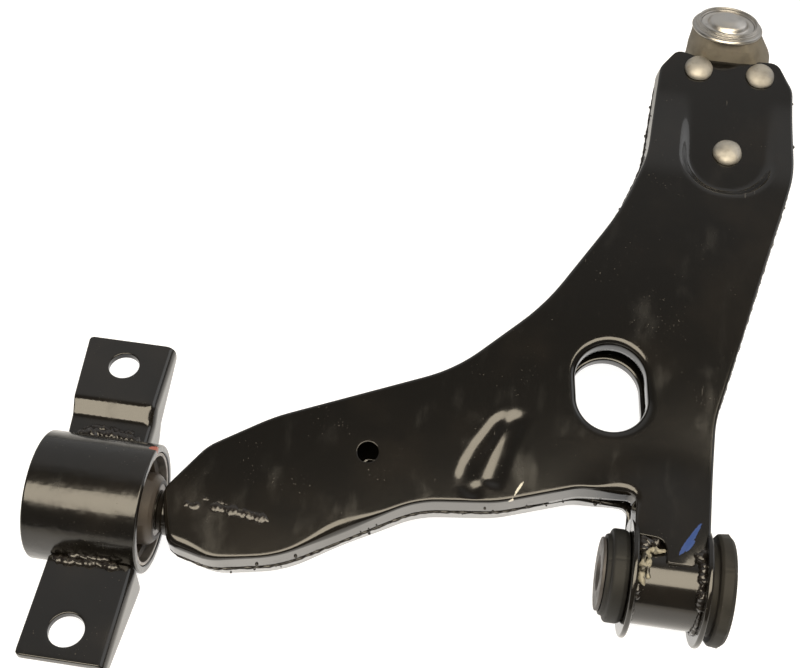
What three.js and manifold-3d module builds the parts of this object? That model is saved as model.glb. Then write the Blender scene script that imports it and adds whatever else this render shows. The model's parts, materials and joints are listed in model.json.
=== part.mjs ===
// Front lower control arm of a small car, drawn upside down: the face that looks at the road is +Z.
// Two pressed shells are welded into an A-shaped arm. The arm turns about a pivot axis that runs through a
// front bush (two rubber halves on one steel sleeve) and a rear bush, which sits in a bolt-on bracket.
// A ball joint is riveted between the shells at the outboard end, and its stud points down.
//
// The pieces are drawn in the pivot frame: X forward along the pivot axis, Y outboard, Z up, with the
// origin at the middle of the front bush. The finished group is then moved so that the origin of the part
// is the centre of the stud's flat end. Millimetres.

import * as THREE from 'three';
import { mergeVertices } from 'three/addons/utils/BufferGeometryUtils.js';
import Module from 'manifold-3d';

const wasm = await Module();
wasm.setup();

// ---- Driving dimensions -------------------------------------------------------------------------------

const GAP = 0.3;                    // clearance between neighbouring pieces
const ARM_TILT = 16;                // degrees the arm rises towards the ball joint
const ROUND = 28;                   // segments of a full turn
const SMALL_ROUND = 18;             // segments of rivets and small holes

const SHEET = 3;                    // shell steel
const SHELL_TOP = 15;               // height of the shell's flat over the arm's middle plane
const NECK_TOP = 20;                // height of the shell where it lies on the front tube
const NECK_REACH = 36;              // the neck keeps its height this far from the tube's centre
const NECK_FADE = 78;               // and has come down to the flat at this distance
const PAD_TOP = 9;                  // height of the flat pad over the ball joint's foot
const PAD_BOTTOM = PAD_TOP - SHEET + GAP;
const END_TAPER = [205, 262];       // the shell comes down to the pad's height along this stretch of Y

const BALL = new THREE.Vector3(15.3, 285, 79.5);
const BALL_R = 13.5;
const SEAT_R = BALL_R + GAP;
const NECK_R = 6.5;                 // stud just below the ball
const STUD_R = 9;
const STUD_END = -62;               // stud's flat end, from the ball's centre
const BODY_R = 19;                  // ball joint housing
const HOUSING = { bottom: -18, lip: 11.4, mouth: 15, bore: 15.9, floor: -8, ledge: 17, rimBore: 14.5, top: 20.5 };
const SKIRT = { from: -6, flareEnd: 2, to: 12, radius: 23, front: 286.2 };
const BOOT_GROOVE = { radius: 16.5, from: -17, to: -13.5 };

const PIVOT_TUBE = { radius: 20.5, bore: 17.7, half: 15 };
const FLANGE = { radius: 27.5, thickness: 2.6 };
const SLEEVE = { radius: 10.5, bore: 7.1, half: 30 };
const REAR_HEAD_R = 21.6;           // rubber head on the rear end of the front bush
const FRONT_HEAD = { radius: 25.6, from: 21.6, to: 29.4, waistRadius: 21 };
const HEAD_CHAMFER = 1.5;
const END_WASHER = { radius: 17, thickness: 1.6 };

const CASING = { radius: 30.5, bore: 27, from: -293.5, to: -240 };
const CASING_SLEEVE = { thickness: 1.6, from: -292, to: -240.5 };
const REAR_SLEEVE = { radius: 12.5, bore: 9.3, from: -290, to: -237.4 };
const REAR_RUBBER = { hubFrom: -287.5, skinFrom: -280.5, skinTo: -246, hubTo: -238 };
const VOID = { inside: 3.2, outside: 2.4, lean: 20 };   // steps in from the hub and the skin, lean above level
const SPIGOT = { radius: 11.5, from: -235, to: -172, pinRadius: 9, pinFrom: -289 };

const LUG_SHEET = 4;
const OUTBOARD_LUG = {
  hole: { x: -277, y: 80, radius: 7.6 },
  from: -298,
  to: -254,
  top: [[20, -8.5], [46, -6.3], [57, 0], [96, 0]],      // the upper face: [y, z], from the casing outwards
  foldDrop: [22, 7],                                    // depth of the folded edge at the casing and at the end
};
const INBOARD_LUG = {
  hole: { x: -262, y: -66, radius: 8 },
  from: -281,
  to: -240.5,
  top: [[-20, 0], [-82, 0]],
  foldDrop: [22, 8],
};

const SLOT = { x: -33, y: 87, width: 34, length: 44, lean: 8, flangeDepth: 9 };
const GAUGE_HOLE = { x: -143, y: 37.8, radius: 5.2 };
const RIVETS = [
  { name: 'rivet_rear', x: -2, y: 275 },
  { name: 'rivet_front', x: 30.6, y: 274.5 },
  { name: 'rivet_inboard', x: 15.7, y: 225 },
];
const RIVET = { shank: 5, head: 7.9, topRise: 4.6, bottomRise: 2.8 };

// Corners of the arm seen from above, in the arm's own plane: [x, y, corner radius], anticlockwise.
const ARM_CORNERS = [
  [-12.6, 4, 1], [12.6, 4, 1], [13.6, 27.5, 3], [17, 30.5, 1.5], [17, 77, 60], [49.3, 215, 80], [48.3, 270, 12],
  [39.5, 286, 6], [30, 285.4, 8], [20, 280.2, 14], [1, 280.2, 14], [-9, 286.2, 5], [-14, 287, 5],
  [-22, 275.5, 8], [-25.4, 216, 70], [-36.8, 182, 150], [-69, 125.2, 120], [-108, 85.4, 80],
  [-189.8, 48.9, 90], [-218, 30.2, 25], [-232, 6, 4], [-228, -18, 8], [-207, -23, 25], [-176, -17, 60],
  [-117, 18, 50], [-80, 22.5, 60], [-44, 35, 25], [-17, 35.5, 3], [-17, 30.5, 1.5], [-13.6, 27.5, 3],
];
const PAD_CORNERS = [[-6.5, 201.3, 20], [37.5, 201.3, 20], [37.5, 320, 1], [-6.5, 320, 1]];

// ---- Materials ----------------------------------------------------------------------------------------

const finish = (color, roughness, metalness) => new THREE.MeshStandardMaterial({ color, roughness, metalness });
const blackCoat = () => finish(0x14120f, 0.25, 0.1);
const bareSteel = () => finish(0x8d867c, 0.4, 0.9);
const rubber = () => finish(0x1e1d1d, 0.8, 0);
const plastic = () => finish(0xd8d4c4, 0.5, 0);

// ---- Solids -------------------------------------------------------------------------------------------

// Turns a three.js geometry into a closed solid with its faces pointing out.
function solid(geometry) {
  const bare = geometry.clone();
  bare.deleteAttribute('normal');
  bare.deleteAttribute('uv');
  const merged = mergeVertices(bare, 1e-4);
  const position = merged.getAttribute('position');
  const index = merged.getIndex().array;
  const corner = [new THREE.Vector3(), new THREE.Vector3(), new THREE.Vector3()];
  const triangles = [];
  let volume = 0;
  for (let i = 0; i < index.length; i += 3) {
    const [a, b, c] = index.slice(i, i + 3);
    if (a === b || b === c || c === a) continue;
    triangles.push([a, b, c]);
    [a, b, c].forEach((v, k) => corner[k].fromBufferAttribute(position, v));
    volume += corner[0].dot(corner[1].cross(corner[2]));
  }
  const outward = volume > 0 ? triangles : triangles.map(([a, b, c]) => [a, c, b]);
  return new wasm.Manifold(new wasm.Mesh({
    numProp: 3,
    vertProperties: new Float32Array(position.array),
    triVerts: new Uint32Array(outward.flat()),
  }));
}

// A round solid about the Z axis from [radius, height] points. A profile that leaves the axis closes on itself.
function turned(profile, segments = ROUND) {
  const points = profile.map(([r, h]) => new THREE.Vector2(r, h));
  const onAxis = points[0].x === 0 && points.at(-1).x === 0;
  if (!onAxis) points.push(points[0].clone());
  return new THREE.LatheGeometry(points, segments).rotateX(Math.PI / 2);
}

// The same about the X axis, from [radius, x] points.
function turnedX(profile, segments = ROUND) {
  return turned(profile, segments).rotateY(Math.PI / 2);
}

// A closed ring profile: [radius, position] corners of a rectangle.
function ringProfile(inner, outer, from, to) {
  return [[inner, from], [outer, from], [outer, to], [inner, to]];
}

function extruded(shape, from, to) {
  return new THREE.ExtrudeGeometry(shape, { depth: to - from, bevelEnabled: false }).translate(0, 0, from);
}

// A prism along X whose section is drawn in Y and Z.
function prismX(points, from, to) {
  const shape = new THREE.Shape(points.map(([y, z]) => new THREE.Vector2(y, z)));
  const turn = new THREE.Matrix4().makeBasis(
    new THREE.Vector3(0, 1, 0), new THREE.Vector3(0, 0, 1), new THREE.Vector3(1, 0, 0));
  return extruded(shape, from, to).applyMatrix4(turn);
}

function rod(radius, from, to, x = 0, y = 0, segments = ROUND) {
  return turned([[0, from], [radius, from], [radius, to], [0, to]], segments).translate(x, y, 0);
}

const tilted = (geometry) => geometry.rotateX(THREE.MathUtils.degToRad(ARM_TILT));

// ---- Outlines -----------------------------------------------------------------------------------------

// Moves every side of a cornered outline inwards by a distance, keeping its arcs concentric.
function inset(corners, distance) {
  const at = (i) => corners[(i + corners.length) % corners.length];
  const side = (i) => new THREE.Vector2(at(i + 1)[0] - at(i)[0], at(i + 1)[1] - at(i)[1]).normalize();
  return corners.map(([x, y, radius], i) => {
    const before = side(i - 1);
    const after = side(i);
    const turn = before.cross(after);
    const half = new THREE.Vector2(-before.y - after.y, before.x + after.x).normalize();
    const reach = distance / half.dot(new THREE.Vector2(-before.y, before.x));
    const inner = Math.max(radius - Math.sign(turn) * distance, 0.5);
    return [x + half.x * reach, y + half.y * reach, inner];
  });
}

// A shape with a tangent arc at every corner.
function rounded(corners, arcStep = 12) {
  const points = [];
  corners.forEach(([x, y, radius], i) => {
    const corner = new THREE.Vector2(x, y);
    const [px, py] = corners[(i + corners.length - 1) % corners.length];
    const [nx, ny] = corners[(i + 1) % corners.length];
    const back = new THREE.Vector2(px, py).sub(corner).normalize();
    const ahead = new THREE.Vector2(nx, ny).sub(corner).normalize();
    const open = Math.acos(THREE.MathUtils.clamp(back.dot(ahead), -1, 1));
    const bend = Math.PI - open;
    const tangent = radius / Math.tan(open / 2);
    const centre = back.clone().add(ahead).normalize().multiplyScalar(radius / Math.sin(open / 2)).add(corner);
    const start = back.clone().multiplyScalar(tangent).add(corner).sub(centre);
    const sign = Math.sign(-back.cross(ahead));
    const steps = Math.max(1, Math.ceil(THREE.MathUtils.radToDeg(bend) / arcStep));
    for (let k = 0; k <= steps; k += 1) {
      points.push(start.clone().rotateAround(new THREE.Vector2(), (sign * bend * k) / steps).add(centre));
    }
  });
  return new THREE.Shape(points);
}

function obround(width, length) {
  const half = (length - width) / 2;
  const shape = new THREE.Shape();
  shape.absarc(0, half, width / 2, 0, Math.PI);
  shape.absarc(0, -half, width / 2, Math.PI, 2 * Math.PI);
  return new THREE.Shape(shape.getPoints(10));
}

function slotPrism(grow, from, to) {
  return extruded(obround(SLOT.width + 2 * grow, SLOT.length + 2 * grow), from, to)
    .rotateZ(THREE.MathUtils.degToRad(SLOT.lean))
    .translate(SLOT.x, SLOT.y, 0);
}

// ---- Scene graph --------------------------------------------------------------------------------------

const group = new THREE.Group();
const pivotFrame = new THREE.Group();
const armFrame = new THREE.Group();
pivotFrame.position.set(-BALL.x, -BALL.y, -(BALL.z + STUD_END));
armFrame.rotation.x = THREE.MathUtils.degToRad(ARM_TILT);
pivotFrame.add(armFrame);
group.add(pivotFrame);

function addPiece(name, manifold, material, parent = pivotFrame) {
  const { vertProperties, triVerts } = manifold.getMesh();
  const geometry = new THREE.BufferGeometry();
  geometry.setAttribute('position', new THREE.BufferAttribute(vertProperties, 3));
  geometry.setIndex(new THREE.BufferAttribute(triVerts, 1));
  geometry.computeVertexNormals();
  const mesh = new THREE.Mesh(geometry, material);
  mesh.name = name;
  parent.add(mesh);
  return mesh;
}

// ---- Welded arm: two pressed shells --------------------------------------------------------------------

// The space under a height over the middle plane: flat over most of the arm, higher over the front tube.
function slab(top, bottom) {
  const lift = NECK_TOP - SHELL_TOP;
  const far = 420;
  return solid(turned([
    [0, bottom + lift], [NECK_REACH, bottom + lift], [NECK_FADE, bottom], [far, bottom],
    [far, top], [NECK_FADE, top], [NECK_REACH, top + lift], [0, top + lift],
  ]));
}

// The space under the taper that brings the shell down to the ball joint's foot.
function taper(top, end) {
  return solid(prismX([
    [-60, -60], [320, -60], [320, end], [END_TAPER[1], end], [END_TAPER[0], top], [150, 30], [-60, 30],
  ], -300, 100));
}

function makeUpperShell() {
  const outer = solid(extruded(rounded(ARM_CORNERS), GAP / 2, 24))
    .intersect(slab(SHELL_TOP, GAP / 2))
    .intersect(taper(SHELL_TOP, PAD_TOP));
  const padRoom = solid(extruded(rounded(PAD_CORNERS), PAD_TOP, 30));
  const underPad = solid(extruded(rounded(inset(PAD_CORNERS, -SHEET)), PAD_BOTTOM, 30));
  const hollow = solid(extruded(rounded(inset(ARM_CORNERS, SHEET)), -1, 24))
    .intersect(slab(SHELL_TOP - SHEET, -5))
    .intersect(taper(SHELL_TOP - SHEET, PAD_TOP - SHEET))
    .subtract(underPad);
  const footRoom = solid(extruded(rounded(inset(PAD_CORNERS, 1)), -1, PAD_BOTTOM));
  let shell = outer.subtract(padRoom).subtract(hollow).subtract(footRoom);
  const slotRim = solid(slotPrism(SHEET, SHELL_TOP - SLOT.flangeDepth, SHELL_TOP - 0.5));
  shell = shell.add(slotRim).subtract(solid(slotPrism(0, -1, 30)));
  shell = shell.subtract(solid(rod(GAUGE_HOLE.radius, -1, 30, GAUGE_HOLE.x, GAUGE_HOLE.y, SMALL_ROUND)));
  for (const { x, y } of RIVETS) {
    shell = shell.subtract(solid(rod(RIVET.shank + GAP, -1, 30, x, y, SMALL_ROUND)));
  }
  const tube = solid(turnedX(ringProfile(0, PIVOT_TUBE.radius + GAP, -60, 60).slice(0, 4)));
  const spigot = solid(turnedX([[0, -320], [SPIGOT.radius + GAP, -320], [SPIGOT.radius + GAP, SPIGOT.to + 1],
    [0, SPIGOT.to + 1]]));
  return shell.subtract(tube).subtract(spigot);
}

// The shells are mirror images, apart from the scallop in their ends that clears the upright ball joint.
function makeShells() {
  const scallop = solid(rod(BODY_R + GAP, -60, 60)
    .translate(BALL.x, BALL.y, BALL.z)
    .rotateX(-THREE.MathUtils.degToRad(ARM_TILT)));
  const shell = makeUpperShell();
  addPiece('upper_shell', shell.subtract(scallop), blackCoat(), armFrame);
  addPiece('lower_shell', shell.mirror([0, 0, 1]).subtract(scallop), blackCoat(), armFrame);
}
makeShells();

// ---- Front bush ---------------------------------------------------------------------------------------

function makeFrontBush() {
  const { radius, bore, half } = PIVOT_TUBE;
  const stemEnd = 0.5;
  addPiece('front_bush_tube', solid(turnedX(ringProfile(bore, radius, -half, half))), blackCoat());

  const near = half + GAP;
  const far = near + FLANGE.thickness;
  const flange = ringProfile(bore, FLANGE.radius, near, far);
  const mirrored = (profile) => profile.map(([r, x]) => [r, -x]);
  addPiece('front_tube_flange_front', solid(turnedX(flange)), blackCoat());
  addPiece('front_tube_flange_rear', solid(turnedX(mirrored(flange))), blackCoat());

  // Each rubber half has a stem inside the tube and a head outside it.
  const stemR = bore - GAP;
  const innerR = SLEEVE.radius + GAP;
  const face = far + GAP;
  const rearEnd = SLEEVE.half - END_WASHER.thickness - GAP;
  const rearHalf = [
    [innerR, stemEnd], [stemR, stemEnd], [stemR, face], [REAR_HEAD_R, face],
    [REAR_HEAD_R, rearEnd - HEAD_CHAMFER], [REAR_HEAD_R - HEAD_CHAMFER, rearEnd], [innerR, rearEnd],
  ];
  addPiece('front_bush_rubber_rear', solid(turnedX(mirrored(rearHalf))), rubber());
  const { radius: headR, from: headFrom, to: headTo, waistRadius: waistR } = FRONT_HEAD;
  const frontHalf = [
    [innerR, stemEnd], [stemR, stemEnd], [stemR, face], [waistR, face], [waistR, headFrom], [headR, headFrom],
    [headR, headTo - HEAD_CHAMFER], [headR - HEAD_CHAMFER, headTo], [innerR, headTo],
  ];
  addPiece('front_bush_rubber_front', solid(turnedX(frontHalf)), rubber());

  // The steel sleeve that the pivot bolt clamps, with a washer formed on its rear end.
  const washerFace = SLEEVE.half - END_WASHER.thickness;
  addPiece('front_bush_sleeve',
    solid(turnedX(ringProfile(SLEEVE.bore, SLEEVE.radius, -washerFace + GAP, SLEEVE.half))), bareSteel());
  addPiece('front_bush_washer',
    solid(turnedX(ringProfile(SLEEVE.bore, END_WASHER.radius, -SLEEVE.half, -washerFace))), bareSteel());
}
makeFrontBush();

// ---- Rear bush and its bracket --------------------------------------------------------------------------

function makeRearBush() {
  const { radius, bore, from, to } = CASING;
  addPiece('rear_bush_casing', solid(turnedX(ringProfile(bore, radius, from, to))), blackCoat());

  const outerR = bore - GAP;
  const outerBore = outerR - CASING_SLEEVE.thickness;
  addPiece('rear_bush_outer_sleeve',
    solid(turnedX(ringProfile(outerBore, outerR, CASING_SLEEVE.from, CASING_SLEEVE.to))), bareSteel());

  // The rubber is coned towards its ends and has two long voids, outboard and inboard of the sleeve.
  const skin = outerBore - GAP;
  const hub = REAR_SLEEVE.radius + GAP;
  const coneR = hub + 3;
  const coneBase = skin - 3;
  const { hubFrom, skinFrom, skinTo, hubTo } = REAR_RUBBER;
  let block = solid(turnedX([
    [hub, hubFrom], [coneR, hubFrom], [coneBase, skinFrom], [skin, skinFrom],
    [skin, skinTo], [coneBase, skinTo], [coneR, hubTo], [hub, hubTo],
  ]));
  const ends = [hubFrom - 1, hubTo + 1];
  const voidRing = solid(turnedX(ringProfile(hub + VOID.inside, skin - VOID.outside, ...ends)));
  for (const side of [1, -1]) {
    const sector = prismX([[0, 0], [side * 22, 40], [side * 60, 40], [side * 60, -40], [side * 22, -40]],
      ...ends);
    sector.rotateX(THREE.MathUtils.degToRad(VOID.lean));
    block = block.subtract(voidRing.intersect(solid(sector)));
  }
  addPiece('rear_bush_rubber', block, rubber());

  addPiece('rear_bush_inner_sleeve', solid(turnedX(ringProfile(
    REAR_SLEEVE.bore, REAR_SLEEVE.radius, REAR_SLEEVE.from, REAR_SLEEVE.to))), bareSteel());

  const { radius: barR, from: shoulder, to: barEnd, pinRadius, pinFrom } = SPIGOT;
  addPiece('rear_spigot', solid(turnedX([
    [0, pinFrom], [pinRadius - 1, pinFrom], [pinRadius, pinFrom + 1], [pinRadius, shoulder - 2],
    [barR - 1, shoulder], [barR, shoulder + 1], [barR, barEnd], [0, barEnd],
  ])), blackCoat());
}
makeRearBush();

// A lug is a flat tongue with a bolt hole and a folded edge on its front side, welded to the casing.
function makeLug({ hole, from, to, top, foldDrop }) {
  const underside = top.map(([y, z]) => [y, z - LUG_SHEET]).reverse();
  const plate = solid(prismX([...top, ...underside], from, to));
  const side = Math.sign(hole.y);
  const root = top[0][0];
  const end = top.at(-1)[0];
  const foldTop = 1 - LUG_SHEET;
  const fold = solid(prismX([
    [root, foldTop], [end - 2 * side, foldTop], [end - 4 * side, 1 - foldDrop[1]], [root, 1 - foldDrop[0]],
  ], to - LUG_SHEET, to));
  const boltHole = solid(rod(hole.radius, -30, 30, hole.x, hole.y, SMALL_ROUND));
  const casing = solid(turnedX([
    [0, CASING.from - 20], [CASING.radius + GAP, CASING.from - 20], [CASING.radius + GAP, CASING.to + 20],
    [0, CASING.to + 20],
  ]));
  return plate.add(fold).subtract(boltHole).subtract(casing);
}
addPiece('bracket_lug_outboard', makeLug(OUTBOARD_LUG), blackCoat());
addPiece('bracket_lug_inboard', makeLug(INBOARD_LUG), blackCoat());

// ---- Ball joint -----------------------------------------------------------------------------------------

// Places a solid of revolution drawn about the ball's centre.
const atBall = (geometry) => geometry.translate(BALL.x, BALL.y, BALL.z);

function makeHousing() {
  const { bottom, lip, mouth, bore, floor, ledge, rimBore, top } = HOUSING;
  const body = solid(atBall(turned([
    [mouth, bottom], [BOOT_GROOVE.radius + 0.5, bottom], [BOOT_GROOVE.radius, BOOT_GROOVE.from],
    [BOOT_GROOVE.radius, BOOT_GROOVE.to], [BOOT_GROOVE.radius + 0.3, -9.5], [BODY_R, -8], [BODY_R, 11],
    [BODY_R - 1.7, top - 1], [BODY_R - 2.4, top], [rimBore, top], [rimBore, ledge], [bore + GAP, ledge],
    [bore + GAP, floor - GAP], [lip, floor - GAP],
  ])));
  // The foot fills the space between the two pads. A skirt, round but flat in front, flares out to meet it.
  const half = PAD_BOTTOM - GAP;
  const footCorners = [[15.6, 212, 10], [43, 262, 9], [37.5, 292, 6], [-7.5, 292, 6], [-12, 262, 9]];
  const inner = inset(PAD_CORNERS, 1 + GAP);
  const foot = solid(tilted(extruded(rounded(footCorners), -half, half)))
    .intersect(solid(tilted(extruded(rounded(inner), -half, half))));
  const flare = solid(atBall(turned([
    [0, SKIRT.from], [SKIRT.radius, SKIRT.from], [SKIRT.radius, SKIRT.flareEnd], [BODY_R, SKIRT.to], [0, SKIRT.to],
  ])));
  const behind = new THREE.BoxGeometry(100, 60, 100).translate(BALL.x, SKIRT.front + 30, 0);
  const skirt = flare.intersect(solid(tilted(behind)));
  const room = solid(atBall(rod(bore + GAP, floor - GAP, ledge)))
    .add(solid(atBall(rod(rimBore, ledge - 1, top + 10))))
    .add(solid(atBall(rod(lip, -40, floor))))
    .add(solid(atBall(turned([[0, -40], [mouth, -40], [mouth, bottom], [lip, floor - GAP], [0, floor - GAP]]))));
  let housing = body.add(foot).add(skirt).subtract(room);
  for (const { x, y } of RIVETS) {
    housing = housing.subtract(solid(tilted(rod(RIVET.shank + GAP, -30, 30, x, y, SMALL_ROUND))));
    for (const [low, high] of [[-30, -PAD_TOP], [PAD_TOP, 30]]) {
      housing = housing.subtract(solid(tilted(rod(RIVET.head + GAP, low, high, x, y, SMALL_ROUND))));
    }
  }
  return housing;
}

function makeBallJoint() {
  addPiece('ball_joint_housing', makeHousing(), bareSteel());

  const { bore, floor, ledge, top } = HOUSING;
  const seatTop = ledge - 1.6;
  const seatArc = [];
  const lowest = Math.asin(floor / SEAT_R);
  const seatSteps = 9;
  for (let k = 0; k <= seatSteps; k += 1) {
    const angle = THREE.MathUtils.lerp(lowest, Math.PI / 2, k / seatSteps);
    seatArc.push([k === seatSteps ? 0 : SEAT_R * Math.cos(angle), SEAT_R * Math.sin(angle)]);
  }
  const seat = [...seatArc.reverse(), [bore, floor], [bore, seatTop], [0, seatTop]];
  addPiece('ball_seat', solid(atBall(turned(seat))), plastic());

  addPiece('ball_joint_cap', solid(atBall(turned([
    [0, seatTop + GAP], [bore, seatTop + GAP], [bore, ledge - GAP], [13.9, ledge - 0.1], [13, ledge + 1],
    [9, top - 0.4], [4.5, top + 0.6], [0, top + 0.8],
  ]))), bareSteel());

  const ballArc = [];
  const neckAngle = -Math.acos(NECK_R / BALL_R);
  const ballSteps = 10;
  for (let k = 0; k <= ballSteps; k += 1) {
    const angle = THREE.MathUtils.lerp(Math.PI / 2, neckAngle, k / ballSteps);
    ballArc.push([k === 0 ? 0 : BALL_R * Math.cos(angle), BALL_R * Math.sin(angle)]);
  }
  addPiece('ball_stud', solid(atBall(turned([
    ...ballArc, [NECK_R, -21], [STUD_R, -28], [STUD_R, -43], [STUD_R - 2, -45.5], [STUD_R - 2, -49.5],
    [STUD_R, -52], [STUD_R, STUD_END + 1.5], [STUD_R - 1.5, STUD_END], [0, STUD_END],
  ]))), bareSteel());
}
makeBallJoint();

function makeBoot() {
  const { radius, from, to } = BOOT_GROOVE;
  const lipR = radius + GAP;
  const smallR = STUD_R + GAP;
  const smallFrom = -34;
  const skin = 1.6;
  // Outside down from the housing groove, then back up on the inside.
  const outside = [
    [lipR + 0.7, to], [lipR + skin, to - 2], [lipR + skin, from - 1], [21, -20.5], [21.5, -23], [20, -26],
    [smallR + 3.4, -28.8], [smallR + skin, -30], [smallR + skin, smallFrom],
  ];
  const inside = [
    [smallR, smallFrom], [smallR, -29.2], [smallR + 1.8, -27.2], [18.6, -24.8], [19.7, -23], [19.2, -21.4],
    [lipR, -17.6], [lipR, to],
  ];
  addPiece('dust_boot', solid(atBall(turned([...outside, ...inside]))), rubber());
  const wire = 0.9;
  const large = lipR + skin + GAP;
  const small = smallR + skin + GAP;
  addPiece('boot_clamp_large',
    solid(atBall(turned(ringProfile(large, large + wire, from + 0.4, from + 2)))), bareSteel());
  addPiece('boot_clamp_small',
    solid(atBall(turned(ringProfile(small, small + wire, smallFrom + 0.8, -31)))), bareSteel());
}
makeBoot();

// ---- Rivets ---------------------------------------------------------------------------------------------

function makeRivets() {
  const face = PAD_TOP + GAP;
  const { shank, head, topRise, bottomRise } = RIVET;
  const dome = (rise) => [[head, face], [head - 0.4, face + 0.3 * rise], [head - 2.2, face + 0.8 * rise],
    [head - 4.6, face + 0.96 * rise], [0, face + rise]];
  const underside = dome(bottomRise).map(([r, z]) => [r, -z]).reverse();
  for (const { name, x, y } of RIVETS) {
    const profile = [...underside, [shank, -face], [shank, face], ...dome(topRise)];
    addPiece(name, solid(turned(profile, SMALL_ROUND).translate(x, y, 0)), bareSteel(), armFrame);
  }
}
makeRivets();

export default group;
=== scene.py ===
"""Looks of a car's front lower control arm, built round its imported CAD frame.

Local shapes are drawn in millimetres in one of five frames and stored in metres in the row frame:
PIVOT_FRAME (X along the pivot axis), ARM_FRAME (the same, turned into the arm's own plane), BALL_FRAME
(upright, about the ball's centre), TOP_FRAME (the tipped top of the ball joint) and, for turned pieces on
the pivot axis, AXIS_FRAME.
"""

import json
import math
import random

import bmesh
import bpy
import numpy as np
from mathutils import Matrix, Vector
from mathutils.geometry import delaunay_2d_cdt


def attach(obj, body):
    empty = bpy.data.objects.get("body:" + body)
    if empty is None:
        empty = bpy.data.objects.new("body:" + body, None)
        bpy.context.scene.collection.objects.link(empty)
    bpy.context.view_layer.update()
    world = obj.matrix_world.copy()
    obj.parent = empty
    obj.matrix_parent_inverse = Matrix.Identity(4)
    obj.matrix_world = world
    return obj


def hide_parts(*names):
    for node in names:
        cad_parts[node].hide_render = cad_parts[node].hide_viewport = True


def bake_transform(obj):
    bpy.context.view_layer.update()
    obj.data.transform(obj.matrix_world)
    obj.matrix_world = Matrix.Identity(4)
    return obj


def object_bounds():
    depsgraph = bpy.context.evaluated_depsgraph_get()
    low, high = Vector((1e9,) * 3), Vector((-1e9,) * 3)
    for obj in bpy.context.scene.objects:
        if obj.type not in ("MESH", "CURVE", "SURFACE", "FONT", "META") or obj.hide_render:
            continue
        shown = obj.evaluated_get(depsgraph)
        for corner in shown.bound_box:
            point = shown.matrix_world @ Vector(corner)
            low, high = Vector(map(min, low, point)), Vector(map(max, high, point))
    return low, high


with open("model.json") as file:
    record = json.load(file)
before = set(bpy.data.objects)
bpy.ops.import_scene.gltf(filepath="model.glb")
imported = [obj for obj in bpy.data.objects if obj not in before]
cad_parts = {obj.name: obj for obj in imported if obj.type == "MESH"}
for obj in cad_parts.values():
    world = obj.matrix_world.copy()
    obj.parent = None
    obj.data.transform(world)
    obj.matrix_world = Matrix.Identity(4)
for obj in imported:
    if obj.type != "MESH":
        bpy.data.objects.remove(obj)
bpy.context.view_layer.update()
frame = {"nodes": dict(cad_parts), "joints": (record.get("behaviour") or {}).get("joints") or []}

# ---- Frames and driving dimensions --------------------------------------------------------------------

MM = 0.001
JOINTS = {joint["name"]: joint for joint in frame["joints"]}
PIVOT = Vector(JOINTS["front_bush_turn"]["pos_m"])
BALL = Vector(JOINTS["ball_swing_x"]["pos_m"])
ARM_TILT = math.radians(16)
SCALE = Matrix.Scale(MM, 4)
PIVOT_FRAME = Matrix.Translation(PIVOT) @ SCALE
ARM_FRAME = PIVOT_FRAME @ Matrix.Rotation(ARM_TILT, 4, "X")
BALL_FRAME = Matrix.Translation(BALL) @ SCALE
# The top of the ball joint sits a little towards the rear of the car and tips outboard.
TOP_SHIFT = -4.1
TOP_TIP = math.radians(10)
TOP_FRAME = BALL_FRAME @ Matrix.Translation((TOP_SHIFT, 0, 0)) @ Matrix.Rotation(-TOP_TIP, 4, "X")
AXIS_FRAME = PIVOT_FRAME @ Matrix.Rotation(math.pi / 2, 4, "Y")


def span(node, local_frame=PIVOT_FRAME):
    """Lowest and highest corner of a CAD node in a local frame, in millimetres."""
    inverse = np.array(local_frame.inverted())
    points = np.array([v.co[:] for v in frame["nodes"][node].data.vertices])
    points = points @ inverse[:3, :3].T + inverse[:3, 3]
    return points.min(0), points.max(0)


def radius_of(node):
    """Outer radius of a CAD node that is round about the pivot axis, in millimetres."""
    low, high = span(node)
    return (high[1] - low[1]) / 2


# Pressed shells, as in the CAD: corners of the outline are (x, y, corner radius), anticlockwise.
SHEET = 3.0
SHELL_TOP = 15.0
# The neck rises towards the tube over its last NECK_FROM millimetres.
NECK_SLOPE = 0.14
NECK_FROM = 52.0
NECK_BEND = 5.0
PAD_TOP = 9.0
# The arm grows flatter between these distances from the pivot axis.
END_TAPER = (205.0, 262.0)
SHOULDER = 1.6
CUT_EDGE = 0.5
# Places (x, y, extra radius, reach) where the press left a rounder shoulder.
WIDE_SHOULDERS = [(-151, 1, 3.4, 15), (-222, -21, 3.2, 16), (-24, 38, 3.4, 9)]
NECK_OPENING = 8.0
ARM_CORNERS = [
    (-2.5, 4, 1), (10.5, 4, 1), (10.5, 9, 3), (17, 15, 2), (17, 77, 60),
    (49.3, 215, 80), (48.3, 270, 12), (39.5, 286, 6), (30, 285.4, 8), (20, 283, 14), (1, 283, 14),
    (-9, 286.2, 5), (-14, 287, 5), (-22, 275.5, 8), (-25.4, 216, 70), (-36.8, 182, 150), (-69, 125.2, 120),
    (-108, 85.4, 80), (-189.8, 48.9, 90), (-218, 30.2, 25), (-234, 7, 6), (-228, -18, 8), (-207, -23, 25),
    (-176, -17, 60), (-117, 18, 50), (-80, 22.5, 60), (-44, 35, 25), (-17, 35.5, 4), (-17, 16, 2),
    (-4, 15, 5), (-2.2, 9, 3),
]
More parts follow.
